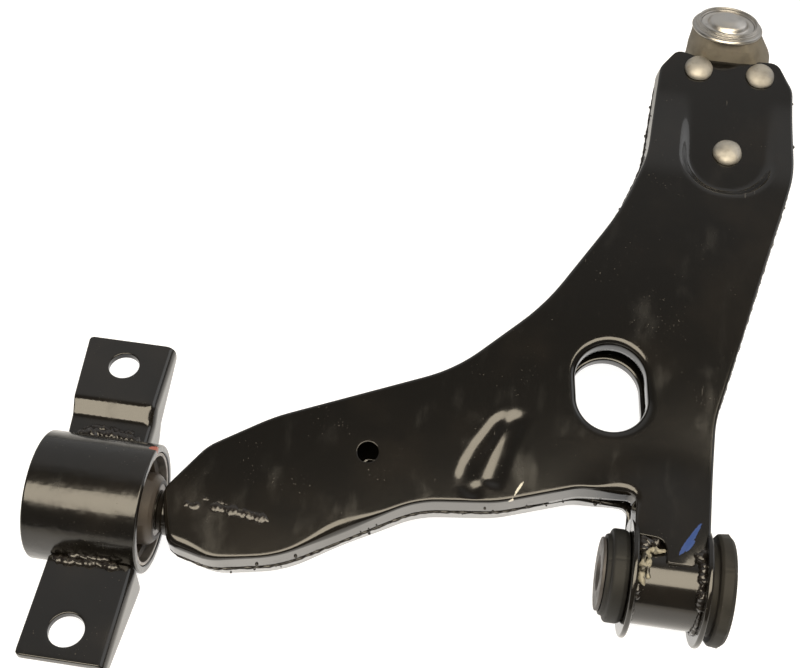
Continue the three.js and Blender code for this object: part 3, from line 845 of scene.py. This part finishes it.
def make_welds():
    """Beads along the shell seam, over the spigot, in the neck's corners and round the tube's flanges."""
    for number, run in enumerate(seam_path()):
        bead = sweep(f"seam_weld_{number + 1}", run, 0.95, ARM_FRAME, 0.9, 10 + number)
        finish_piece(bead, "weld", "black_coat", "arm")
    for name, path, radius, seed in (
        ("spigot_weld", [(-212, 1.6, 14.5), (-196, 0.4, 14.6), (-182, -1.4, 14.5)], 2.6, 31),
        ("spigot_weld_edge", [(-223, 5.2, 14.4), (-210, 4.6, 14.5), (-193, 2.2, 14.5)], 1.3, 32),
        ("spigot_weld_drop", [(-224, 1.2, 14.2), (-220, 0.6, 14.4), (-215, 1.0, 14.3)], 2.2, 33),
    ):
        bead = sweep(name, path, radius, ARM_FRAME, 1.2, seed, 16, 0.4)
        finish_piece(bead, "weld", "black_coat", "arm")
    over = TUBE_R + 1.2
    neck_beads = (
        ("neck_weld_drip",
         [(-11.3, 126), (-13.4, 117), (-12.7, 103), (-12.8, 92), (-10, 78), (-6.9, 82), (-2.7, 79)],
         1.6, 41, "stain"),
        ("neck_weld_run", [(-9.9, 118), (-10.7, 103), (-9.6, 86)], 1.1, 42, "stain"),
        ("neck_weld_fill", [(-13.4, 86), (-12.6, 74), (-9.0, 66), (-5.0, 66)], 3.4, 43, "weld"),
        ("neck_weld_front", [(11.6, 88), (13.4, 78), (15.0, 66), (15.4, 52)], 2.6, 44, "weld"),
    )
    for name, points, radius, seed, material in neck_beads:
        dense = resample_open([(x, a, 2) for x, a in points], 0.8)
        bead = sweep(name, on_tube(dense, over), radius, PIVOT_FRAME, 1.5, seed, 16, 0.8, (0, 0.3, 1))
        finish_piece(bead, material, "black_coat", "arm")
    low, high = span("front_bush_tube")
    for name, x, first, last, radius, seed in (
        ("flange_weld_front", high[0] - 0.8, 50, 150, 2.3, 51),
        ("flange_weld_front_low", high[0] - 0.3, 150, 305, 1.2, 52),
        ("flange_weld_rear", low[0] + 0.8, 122, 145, 2.0, 53),
        ("flange_weld_rear_low", low[0] + 0.3, 145, 305, 1.0, 54),
    ):
        path = on_tube([(x, a) for a in np.linspace(first, last, 60)], TUBE_R + 0.5)
        bead = sweep(name, path, radius, PIVOT_FRAME, 1.7, seed, 14, 0.9, (1, 0, 0))
        finish_piece(bead, "weld", "black_coat", "arm")


def make_spatter():
    """Small drops of weld metal along the walls."""
    chance = random.Random(7)
    build = bmesh.new()
    loop = arm_outline()
    outward_normals = -inward_normals(loop)
    for _ in range(130):
        k = chance.randrange(len(loop))
        if np.hypot(*loop[k]) < 30 or loop[k][1] > 268:
            continue
        height = chance.gauss(0, 4.5)
        if abs(height) > SHELL_TOP - SHOULDER:
            continue
        size = chance.choice((0.35, 0.45, 0.6, 0.6, 0.9)) * chance.uniform(0.8, 1.2)
        if abs(height) < neck_lift(loop[k:k + 1])[0] + 1:
            continue
        lean = DRAFT["foot"] + (DRAFT["shoulder"] - DRAFT["foot"]) * abs(height) / (SHELL_TOP - SHOULDER)
        spot = loop[k] + outward_normals[k] * (lean + size * 0.3)
        place = ARM_FRAME @ Matrix.Translation((spot[0], spot[1], height)) @ Matrix.Scale(size, 4)
        bmesh.ops.create_icosphere(build, subdivisions=2, radius=1.0, matrix=place)
    finish_piece(object_from(build, "weld_spatter"), "weld", "black_coat", "arm")


# ---- Front bush ---------------------------------------------------------------------------------------


def ring_profile(inner, outer, low, high, edge):
    return [(inner, low, edge), (outer, low, edge), (outer, high, edge), (inner, high, edge)]


def axis_piece(name, profile, material, slot, body, *nodes, **options):
    """A piece turned about the pivot axis, from (radius, x, corner radius) corners."""
    return finish_piece(turned(name, profile, AXIS_FRAME, **options), material, slot, body, *nodes)


def make_front_bush():
    low, high = span("front_bush_tube")
    bore = 17.7
    axis_piece("front_tube", ring_profile(bore, TUBE_R, low[0], high[0], 0.5), "coat", "black_coat", "arm",
               "front_bush_tube")
    for end in ("front", "rear"):
        low, high = span(f"front_tube_flange_{end}")
        flange = ring_profile(bore, high[1], low[0], high[0], 1.0)
        axis_piece(f"tube_flange_{end}", flange, "coat", "black_coat", "arm", f"front_tube_flange_{end}")
    sleeve_r = 10.5
    inner = sleeve_r + 0.3
    parting = math.radians(188)

    def parting_line(turn, radius, head):
        """Height of the fine line that the mould's parting plane leaves on the head."""
        return 0.35 * math.exp(-((turn - parting) * radius / 0.45) ** 2) if radius > head - 4 else 0.0

    low, high = span("front_bush_rubber_rear")
    rear_head = high[1]
    face = span("front_tube_flange_rear")[0][0] - 0.3
    rear = [
        (inner, high[0], 0.5), (bore - 0.3, high[0], 0.5), (bore - 0.3, face, 0.3),
        (rear_head - 0.8, face, 0.8), (rear_head, face - 2, 1.5), (rear_head, low[0] + 2.6, 1.6),
        (rear_head - 2.2, low[0] + 2.0, 0.5), (rear_head - 2.6, low[0] + 1.6, 0.3),
        (rear_head - 3.2, low[0], 0.6), (inner, low[0], 0.5),
    ]

    def rear_groove(turn, radius, height):
        return -parting_line(turn, radius, rear_head)

    axis_piece("bush_rubber_rear", rear, "rubber", "rubber", "arm", "front_bush_rubber_rear", segments=256,
               step=math.radians(12), wobble=rear_groove)
    low, high = span("front_bush_rubber_front")
    head = high[1]
    face = span("front_tube_flange_front")[1][0] + 0.3
    head_from = 21.6
    front = [
        (inner, low[0], 0.5), (inner, high[0], 0.5), (head - 5, high[0], 0.5),
        (head - 1.4, high[0] - 0.7, 1.0), (head, high[0] - 2.4, 0.9), (head, head_from + 1.2, 1.0),
        (head - 1.4, head_from, 0.8),
        (21.0, head_from, 0.8), (21.0, face, 0.4), (bore - 0.3, face, 0.3), (bore - 0.3, low[0], 0.5),
    ]

    def torn_flash(turn, radius, height):
        """A ragged mould flash on the outer edge of the head, and the parting line."""
        edge = math.exp(-((height - high[0] + 2.2) / 0.9) ** 2) if radius > head - 1.2 else 0.0
        tear = max(0.0, math.sin(5 * turn + 0.8) * math.sin(11 * turn) - 0.35)
        return 1.1 * edge * tear - parting_line(turn, radius, head)

    axis_piece("bush_rubber_front", front, "front_rubber_painted_sheen", "rubber", "arm", "front_bush_rubber_front",
               segments=256, step=math.radians(12), wobble=torn_flash)
    low, high = span("front_bush_washer")
    bolt = 7.1
    washer = [(bolt, high[0], 0.2), (bolt, low[0] + 1.4, 0.2), (bolt + 1.3, low[0], 0.25),
              (high[1], low[0], 0.5), (high[1], high[0], 0.3)]
    axis_piece("pivot_washer", washer, "washer", "plated_steel", "front_sleeve", "front_bush_washer")
    low, high = span("front_bush_sleeve")
    sleeve = [(bolt, low[0], 0.2), (sleeve_r, low[0], 0.3), (sleeve_r, high[0], 0.6),
              (bolt + 1, high[0], 0.3), (bolt, high[0] - 1, 0.3)]
    axis_piece("pivot_sleeve", sleeve, "plated", "plated_steel", "front_sleeve", "front_bush_sleeve")


# ---- Rear bush ----------------------------------------------------------------------------------------

VOID_LEAN = 20
VOID_HALF_ANGLE = 52


def make_rear_bush():
    low, high = span("rear_bush_casing")
    casing_r = high[1]
    bore = 27.0
    casing = [(bore, low[0], 0.7), (casing_r, low[0], 1.2), (casing_r, high[0], 1.0), (bore, high[0], 0.7)]
    axis_piece("bush_casing", casing, "casing", "black_coat", "rear_bracket", "rear_bush_casing",
               segments=160)
    low, high = span("rear_bush_outer_sleeve")
    axis_piece("outer_sleeve", ring_profile(high[1] - 1.6, high[1], low[0], high[0], 0.4), "sleeve",
               "plated_steel", "rear_bracket", "rear_bush_outer_sleeve", segments=160)
    low, high = span("rear_bush_inner_sleeve")
    axis_piece("inner_sleeve", ring_profile(9.3, high[1], low[0], high[0], 0.4), "sleeve", "plated_steel",
               "arm", "rear_bush_inner_sleeve")

    low, high = span("rear_bush_rubber")
    skin, hub = high[1], 12.8
    rubber_profile = [
        (hub, low[0], 0.4), (hub + 3, low[0], 1.2), (hub + 6, low[0] + 6, 3), (skin - 3, low[0] + 8, 1.5),
        (skin, low[0] + 6, 0.3), (skin, high[0] - 6, 0.3), (skin - 1.8, high[0] - 8, 1.0),
        (skin - 6, high[0] - 6, 4), (hub + 3, high[0] - 0.6, 1.6), (hub + 1.2, high[0] + 1.0, 0.5),
        (hub - 0.6, high[0] + 1.0, 0.3), (hub - 0.6, high[0] - 1, 0.3), (hub, high[0] - 1.4, 0.3),
    ]
    block = turned("bush_rubber", rubber_profile, AXIS_FRAME, segments=160)
    for number, middle in enumerate((VOID_LEAN, VOID_LEAN + 180)):
        cutter = kidney_cutter(f"cutter_{number}", middle, VOID_HALF_ANGLE, hub + 4.2, skin - 1.8,
                               low[0] - 10, high[0] + 10)
        add_modifier(block, "BOOLEAN", operation="DIFFERENCE", solver="EXACT", object=cutter)
        apply_modifiers(block)
        bpy.data.objects.remove(cutter)
    add_modifier(block, "BEVEL", width=0.7 * MM, segments=2, limit_method="ANGLE",
                 angle_limit=math.radians(50))
    weight_normals(block)
    finish_piece(block, "brown_rubber", "rubber", "rear_bracket", "rear_bush_rubber")

    low, high = span("rear_spigot")
    pin = 9.0
    shoulder = high_end_of_pin()
    spigot = [(0, low[0], 0), (pin, low[0], 1.0), (pin, shoulder - 2, 0.8),
              (SPIGOT_R - 1.2, shoulder - 0.5, 0.6), (SPIGOT_R, shoulder + 1.5, 1.0),
              (SPIGOT_R, high[0], 1.0), (0, high[0], 0)]
    axis_piece("spigot_bar", spigot, "coat", "black_coat", "arm", "rear_spigot")


def high_end_of_pin():
    """Where the spigot steps up from its pin: just past the inner sleeve and the rubber's lip."""
    return max(span("rear_bush_inner_sleeve")[1][0], span("rear_bush_rubber")[1][0] + 1.0) + 2.2


def kidney_cutter(name, middle, half_angle, inner, outer, low, high):
    """A closed sector of a ring about the pivot axis, to cut a void. Angles are degrees up from outboard."""
    turns = np.radians(np.linspace(middle - half_angle, middle + half_angle, 40))
    loop = [(outer * math.cos(t), outer * math.sin(t)) for t in turns]
    loop += [(inner * math.cos(t), inner * math.sin(t)) for t in turns[::-1]]
    count = len(loop)
    points = [(x, y, z) for x in (low, high) for y, z in loop]
    faces = [list(range(count))[::-1], list(range(count, 2 * count))]
    bridge(0, count, count, faces)
    obj = make_object(name, points, faces, PIVOT_FRAME)
    outward(obj)
    return obj


def apply_modifiers(obj):
    """Puts the modifiers' result into the mesh."""
    graph = bpy.context.evaluated_depsgraph_get()
    mesh = bpy.data.meshes.new_from_object(obj.evaluated_get(graph))
    obj.modifiers.clear()
    obj.data = mesh


# ---- Bracket lugs -------------------------------------------------------------------------------------

LUG_SHEET = 4.0
FOLD_R = 5.0


def make_lug(name, node, hole, profile, edges, fold_depth, near_inset=0):
    """A tongue bent along a (y, z) profile from the casing outwards, with its front edge folded down.

    On the flat blank u runs along the profile and v across it. Past the fold line, v runs down the fold.
    fold_depth is the fold's depth at the casing and at the far end, and near_inset cuts the rear edge back
    at the casing."""
    line = resample_open(profile, 0.5)
    lengths = np.r_[0, np.cumsum(np.linalg.norm(np.diff(line, axis=0), axis=1))]
    slopes = np.gradient(line, lengths, axis=0)
    total = lengths[-1]
    left, right = edges
    fold_line = right - FOLD_R
    quarter = FOLD_R * math.pi / 2
    near, far = fold_depth
    side = math.copysign(1, hole["y"])

    def place(blank):
        u, v, height = blank.T
        at = np.column_stack([np.interp(u, lengths, line[:, i]) for i in range(2)])
        slope = np.column_stack([np.interp(u, lengths, slopes[:, i]) for i in range(2)])
        slope /= np.linalg.norm(slope, axis=1)[:, None]
        up = np.column_stack([-slope[:, 1], slope[:, 0]]) * side
        past = np.clip(v - fold_line, 0, None)
        turn = np.clip(past / FOLD_R, 0, math.pi / 2)
        down = FOLD_R - (FOLD_R + height) * np.cos(turn)
        skirt = np.clip(past - quarter, 0, None)
        x = np.minimum(v, fold_line) + (FOLD_R + height) * np.sin(turn)
        return np.column_stack([x, at[:, 0] - up[:, 0] * down, at[:, 1] - up[:, 1] * down - skirt])

    blank = [
        (0, left + near_inset, 1), (total, left, 2), (total, fold_line + quarter + far, 3),
        (0, fold_line + quarter + near, 2),
    ]
    outer = resample(arc_corners(blank, math.radians(12)), 1.6)
    u_hole = np.interp(side * hole["y"], side * line[:, 0], lengths)
    bolt_hole = circle(u_hole, hole["x"], hole["radius"] + 0.1, 48)
    obj = make_plate(name, outer, [bolt_hole], LUG_SHEET, 0.7, 1.8, place, PIVOT_FRAME)
    return finish_piece(obj, "coat", "black_coat", "rear_bracket", node)


def make_lugs():
    out_low, out_high = span("bracket_lug_outboard")
    in_low, in_high = span("bracket_lug_inboard")
    outboard_line = [(30.5, -6.6, 0), (50.0, -5.2, 3.5), (57.5, 0, 5), (out_high[1], 0, 0)]
    inboard_line = [(-30.6, 0, 0), (-50, 0, 0.1), (in_low[1] + 1.5, 0, 0)]
    make_lug("lug_outboard", "bracket_lug_outboard", {"x": -277, "y": 80, "radius": 7.6}, outboard_line,
             (out_low[0] - 1.5, out_high[0]), (20, 4), 5.5)
    make_lug("lug_inboard", "bracket_lug_inboard", {"x": -262, "y": -66, "radius": 8.0}, inboard_line,
             (in_low[0], in_high[0]), (17, 4))
    casing_r = radius_of("rear_bush_casing")
    # Where each bead starts and ends along X, its y and height, how far it sways, and over what length.
    for name, first, last, y, height, sway, length, radius, seed in (
        ("lug_weld_outboard", -290, -256, casing_r + 9.5, -5.2, 0.6, 5, 3.2, 61),
        ("lug_weld_outboard_top", -288, -260, casing_r + 13.0, -5.8, 0.7, 3, 2.0, 63),
        ("lug_weld_inboard", -279, -246, -casing_r - 2.0, 0.2, -0.5, 4, 2.3, 62),
        ("lug_weld_inboard_top", -272, -250, -casing_r + 0.2, 1.8, 0, 1, 1.6, 64),
    ):
        path = [(x, y + sway * math.sin(x / length), height) for x in range(first, last, 2)]
        bead = sweep(name, path, radius, PIVOT_FRAME, 1.4, seed, 20, 0.7)
        finish_piece(bead, "weld", "black_coat", "rear_bracket")


# ---- Ball joint ---------------------------------------------------------------------------------------


def ball_piece(name, profile, material, slot, body, *nodes, local_frame=BALL_FRAME, **options):
    """A piece turned about the upright axis through the ball, or about another local frame's Z axis."""
    return finish_piece(turned(name, profile, local_frame, **options), material, slot, body, *nodes)


RIM_TOP = 19.9


def make_housing():
    """The machined rim, the round forged body with its skirt, and the foot between the shells."""
    rim_from = 15.2
    rim = [
        (14.2, rim_from, 0.2), (18.4, rim_from, 0.4), (18.9, 16.1, 0.7), (18.2, 17.2, 0.8), (17.0, 17.5, 0.2),
        (16.9, 18.3, 0.3), (16.4, 18.5, 0.15), (16.3, 19.1, 0.3), (16.0, 19.3, 0.15), (15.9, RIM_TOP, 0.3),
        (15.0, RIM_TOP, 0.4), (14.7, RIM_TOP - 1.4, 0.3), (14.2, RIM_TOP - 1.6, 0.2),
    ]
    ball_piece("joint_rim", rim, "machined", "forged_steel", "arm", local_frame=TOP_FRAME, segments=160,
               step=math.radians(12))
    bottom, floor, bore = -18.0, -8.3, 15.2
    flare = [
        (bore, rim_from + 0.3, 0.2), (18.0, rim_from + 0.3, 0.5), (19.3, 11.5, 5), (22.2, 3.4, 9),
        (23.0, -5.6, 1.2), (17.2, -7.4, 0.6), (16.9, -9.6, 0.5), (16.5, -13.4, 0.5), (16.5, -16.6, 0.4),
        (17.0, -17.0, 0.4), (17.0, bottom, 0.4), (15.1, bottom, 0.4), (11.5, floor, 0.4), (bore, floor, 0.3),
    ]
    body = ball_piece("joint_body", flare, "forged", "forged_steel", "arm", "ball_joint_housing",
                      segments=200, step=math.radians(9))
    # The front of the forging is milled flat where the shells butt against it, and its top meets the rim.
    milled_front, milled_from, skin = -15.9, -6.5, 0.4
    top = BALL_FRAME.inverted() @ TOP_FRAME
    for vertex in body.data.vertices:
        x, y, height = (vertex.co - BALL) / MM
        if milled_from < height < rim_from and math.hypot(x, y) > bore + skin:
            y = max(y, milled_front)
        place = Vector((x, y, height))
        vertex.co = BALL + place.lerp(top @ place, max(0.0, height) / rim_from) * MM

    # The foot plate lies between the pads of the two shells.
    corners = [(15.6, 210, 10), (42.4, 262, 9), (38.0, 288, 5), (-7.5, 288, 5), (-11.4, 262, 9)]
    loop = resample(arc_corners(corners, math.radians(8)), 2.0)
    half = 5.9

    def place(points):
        return points + np.array((0, 0, half))

    plate = make_plate("joint_foot", loop, [], 2 * half, 0.8, 6.0, place, ARM_FRAME)
    finish_piece(plate, "forged", "forged_steel", "arm")


def ball_arc(radius, start, end, count):
    """Profile corners on a circle round the ball's centre, between two heights given as angles."""
    return [(radius * math.cos(a), radius * math.sin(a), 0) for a in np.linspace(start, end, count)]


def make_ball_joint():
    make_housing()
    low = span("ball_joint_cap", BALL_FRAME)[0][2]
    cap = [
        (0, low, 0), (14.1, low, 0.3), (14.1, RIM_TOP - 1.8, 0.3), (12.2, RIM_TOP - 2.3, 0.6),
        (10.9, RIM_TOP - 2.1, 1.2), (9.6, RIM_TOP + 0.2, 3), (5.6, RIM_TOP + 2.0, 8), (0, RIM_TOP + 2.8, 0),
    ]
    ball_piece("joint_cap", cap, "cap", "turned_steel", "arm", "ball_joint_cap",
               local_frame=TOP_FRAME, segments=144, step=math.radians(6))
    ball_r = span("ball_stud", BALL_FRAME)[1][0]
    end = span("ball_stud", BALL_FRAME)[0][2]
    # The seat ends just above the ball's middle, so that it stays inside the forging.
    foot, brim = span("ball_seat", BALL_FRAME)[0][2], 4.0
    inner = ball_r + 0.2
    bowl = ball_arc(inner, math.asin(brim / inner), math.asin(foot / inner), 14)
    seat = [(15.0, foot, 0.4), (15.0, 0, 1), (14.1, brim, 0.3), *bowl]
    ball_piece("seat_bowl", seat, "seat", "bearing_plastic", "arm", "ball_seat")
    neck, shank = 6.5, 9.0
    arc = ball_arc(ball_r, -math.acos(neck / ball_r), math.pi / 2, 40)
    arc[-1] = (0, ball_r, 0)
    stud = [
        (0, end, 0), (shank - 1.5, end, 0.4), (shank, end + 1.5, 0.5), (shank, -52, 0.8),
        (shank - 2, -49.8, 1.5), (shank - 2, -45.2, 1.5), (shank, -43, 0.8), (shank, -28.2, 1.2),
        (neck, -21, 2.5), *arc,
    ]
    ball_piece("stud", stud, "stud", "turned_steel", "stud", "ball_stud", segments=128)
    make_boot()


def make_boot():
    """The dust boot in two pieces that meet at its widest fold."""
    low, high = span("dust_boot", BALL_FRAME)
    groove_r, skin, shank = 16.8, 1.5, 9.3
    widest = -22.6
    upper = [
        (groove_r, high[2], 0.2), (groove_r + 0.9, high[2], 0.4), (groove_r + skin, high[2] - 1.4, 0.5),
        (groove_r + skin, -18.2, 0.8), (19.4, -19.0, 0.8), (21.2, -20.6, 1.2), (21.6, widest, 0.1),
        (20.1, widest, 0.1), (19.9, -21.4, 0.8), (18.4, -20.0, 0.8), (groove_r, -18.8, 0.6),
    ]
    lower = [
        (21.6, widest, 0.1), (21.2, -24.6, 1.2), (19.2, -26.0, 1.2), (17.4, -26.2, 0.8), (16.4, -27.2, 0.8),
        (14.6, -28.6, 1.0), (11.6, -29.4, 0.8), (shank + skin, -30.4, 0.4), (shank + skin, -33.2, 0.3),
        (shank + skin + 0.5, low[2] + 0.2, 0.3), (shank, low[2], 0.3), (shank, -29.4, 0.5),
        (11.2, -27.9, 0.8), (14.0, -27.0, 0.8), (15.8, -25.6, 0.8), (17.2, -24.8, 0.8), (19.0, -24.4, 0.8),
        (20.1, widest, 0.1),
    ]
    for name, profile, above, below, start, end in (
        ("boot_upper", upper, "arm", "boot", -18.6, -22.2),
        ("boot_lower", lower, "boot", "boot_ring", -23.0, -30.0),
    ):
        obj = turned(name, profile, BALL_FRAME, segments=128, step=math.radians(14))
        obj.modifiers.clear()
        obj.data.materials.append(MATERIALS["boot"])
        start, end = (BALL + Vector((0, 0, height * MM)) for height in (start, end))
        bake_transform(obj)
        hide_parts("dust_boot")
    for name, node, body in (
        ("clamp_large", "boot_clamp_large", "arm"),
        ("clamp_small", "boot_clamp_small", "boot_ring"),
    ):
        low, high = span(node, BALL_FRAME)
        inner = high[0] - 0.9
        wire = [(inner, low[2], 0.3), (high[0], low[2], 0.4), (high[0], high[2], 0.4), (inner, high[2], 0.3)]
        ball_piece(name, wire, "plated", "plated_steel", body, node, segments=128)


def make_rivets():
    """Domed heads above and below the pads."""
    for number, node in enumerate(("rivet_rear", "rivet_front", "rivet_inboard")):
        low, high = span(node, ARM_FRAME)
        centre = (low + high) / 2
        head, shank = 0.96 * (high[0] - low[0]) / 2, 5.0
        face = PAD_TOP + 0.3
        local = ARM_FRAME @ Matrix.Translation((centre[0], centre[1] + 1.4, 0))
        crown = 0.8 * (high[2] - face)
        lower_half = [(0, -face - crown, 0)]
        lower_half += [(head * math.sin(a), -face - crown * math.cos(a) ** 0.8, 0)
                       for a in np.radians((18, 36, 54, 70, 82))]
        lower_half += [(head, -face + 0.1, 0.3), (shank, -face + 0.1, 0.3)]
        profile = lower_half + [(radius, -height, corner) for radius, height, corner in reversed(lower_half)]

        def dented(turn, radius, height, phase=number):
            return 0.12 * math.sin(3 * turn + phase) * math.sin(height) + 0.08 * math.sin(5 * turn - phase)

        obj = turned(f"{node}_head", profile, local, segments=64, wobble=dented)
        finish_piece(obj, "rivet", "rivet_steel", "arm", node)


# ---- Stage --------------------------------------------------------------------------------------------

CAMERA_FROM_PIVOT = (-95.6, -300.2, 535.0)
CAMERA_FORWARD = Vector((-0.06554, 0.62017, -0.78172))
CAMERA_UP = Vector((-0.13201, 0.77113, 0.62284))
LENS_MM = 58.5


def camera_only(tree, camera_value, other_value):
    """A number for what the camera sees directly, and a socket's value for what reflections see."""
    path = tree.nodes.new("ShaderNodeLightPath")
    mix = tree.nodes.new("ShaderNodeMix")
    mix.data_type = "FLOAT"
    tree.links.new(path.outputs["Is Camera Ray"], mix.inputs[0])
    tree.links.new(other_value, mix.inputs[2])
    mix.inputs[3].default_value = camera_value
    return mix.outputs[0]


def make_floor():
    low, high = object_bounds()
    middle = (Vector(low) + Vector(high)) / 2
    half = 30.0
    points = [(middle.x + sx * half, middle.y + sy * half, low[2] - 0.0005)
              for sx, sy in ((-1, -1), (1, -1), (1, 1), (-1, 1))]
    floor = make_object("floor", points, [(0, 1, 2, 3)], Matrix.Identity(4))
    material = bpy.data.materials.new("floor_white")
    material.use_nodes = True
    tree = material.node_tree
    shader = tree.nodes["Principled BSDF"]
    shader.inputs["Base Color"].default_value = (0.45, 0.45, 0.45, 1)
    shader.inputs["Roughness"].default_value = 0.9
    shader.inputs["Specular IOR Level"].default_value = 0.0
    shader.inputs["Emission Color"].default_value = (1, 0.99, 0.98, 1)
    distance = tree.nodes.new("ShaderNodeVectorMath")
    distance.operation = "DISTANCE"
    distance.inputs[1].default_value = (middle.x, middle.y - 0.1, low[2])
    tree.links.new(tree.nodes.new("ShaderNodeNewGeometry").outputs["Position"], distance.inputs[0])
    # Mirror-like surfaces see a floor that is brightest in front of the arm and darker farther out.
    glow = map_range(tree, distance.outputs["Value"], (0.1, 0.5, 0.85, 0.2))
    tree.links.new(camera_only(tree, 0.9, glow), shader.inputs["Emission Strength"])
    floor.data.materials.append(material)


def make_world():
    world = bpy.data.worlds.new("studio")
    bpy.context.scene.world = world
    world.use_nodes = True
    background = world.node_tree.nodes["Background"]
    background.inputs["Color"].default_value = (1, 0.995, 0.985, 1)
    # The studio is darker overhead and behind the camera than beyond the ball joint.
    tree = world.node_tree
    split = tree.nodes.new("ShaderNodeSeparateXYZ")
    tree.links.new(tree.nodes.new("ShaderNodeTexCoord").outputs["Generated"], split.inputs[0])
    beyond = map_range(tree, split.outputs["Y"], (0.12, 0.42, 0.09, 0.5), "LINEAR")
    tree.links.new(camera_only(tree, 0.95, beyond), background.inputs["Strength"])


def area_light(name, place, turn, size, power, color):
    """A rectangular light that shines along its own -Z."""
    light = bpy.data.lights.new(name, "AREA")
    light.shape = "RECTANGLE"
    light.size, light.size_y = size
    light.energy = power
    light.color = color
    link_object(name, light).matrix_world = Matrix.Translation(place) @ turn.to_4x4()


def make_lights():
    overhead = PIVOT + Vector((-0.15, -0.48, 1.0))
    turn = Matrix.Rotation(math.radians(25), 3, "Z")
    area_light("softbox", overhead, turn, (1.6, 0.75), 25, (1, 0.88, 0.68))
    side = PIVOT + Vector((1.3, 0.9, 0.9))
    facing = (PIVOT + Vector((-0.1, 0.1, 0)) - side).to_track_quat("-Z", "Y").to_matrix()
    area_light("fill", side, facing, (1.2, 1.0), 3, (0.97, 0.98, 1))


def make_camera():
    camera = bpy.data.cameras.new("camera")
    camera.lens = LENS_MM
    camera.clip_start = 0.01
    obj = link_object("camera", camera)
    forward = CAMERA_FORWARD.normalized()
    right = forward.cross(CAMERA_UP).normalized()
    up = right.cross(forward)
    turn = Matrix((right, up, -forward)).transposed().to_4x4()
    obj.matrix_world = Matrix.Translation(PIVOT_FRAME @ Vector(CAMERA_FROM_PIVOT)) @ turn
    bpy.context.scene.camera = obj


make_shell("shell_upper", "upper_shell", 1)
make_shell("shell_lower", "lower_shell", -1)
make_welds()
make_spatter()
make_front_bush()
make_rear_bush()
make_lugs()
make_ball_joint()
make_rivets()
make_floor()
make_world()
make_lights()
make_camera()
bpy.context.scene.view_settings.view_transform = "Standard"

bpy.context.view_layer.update()
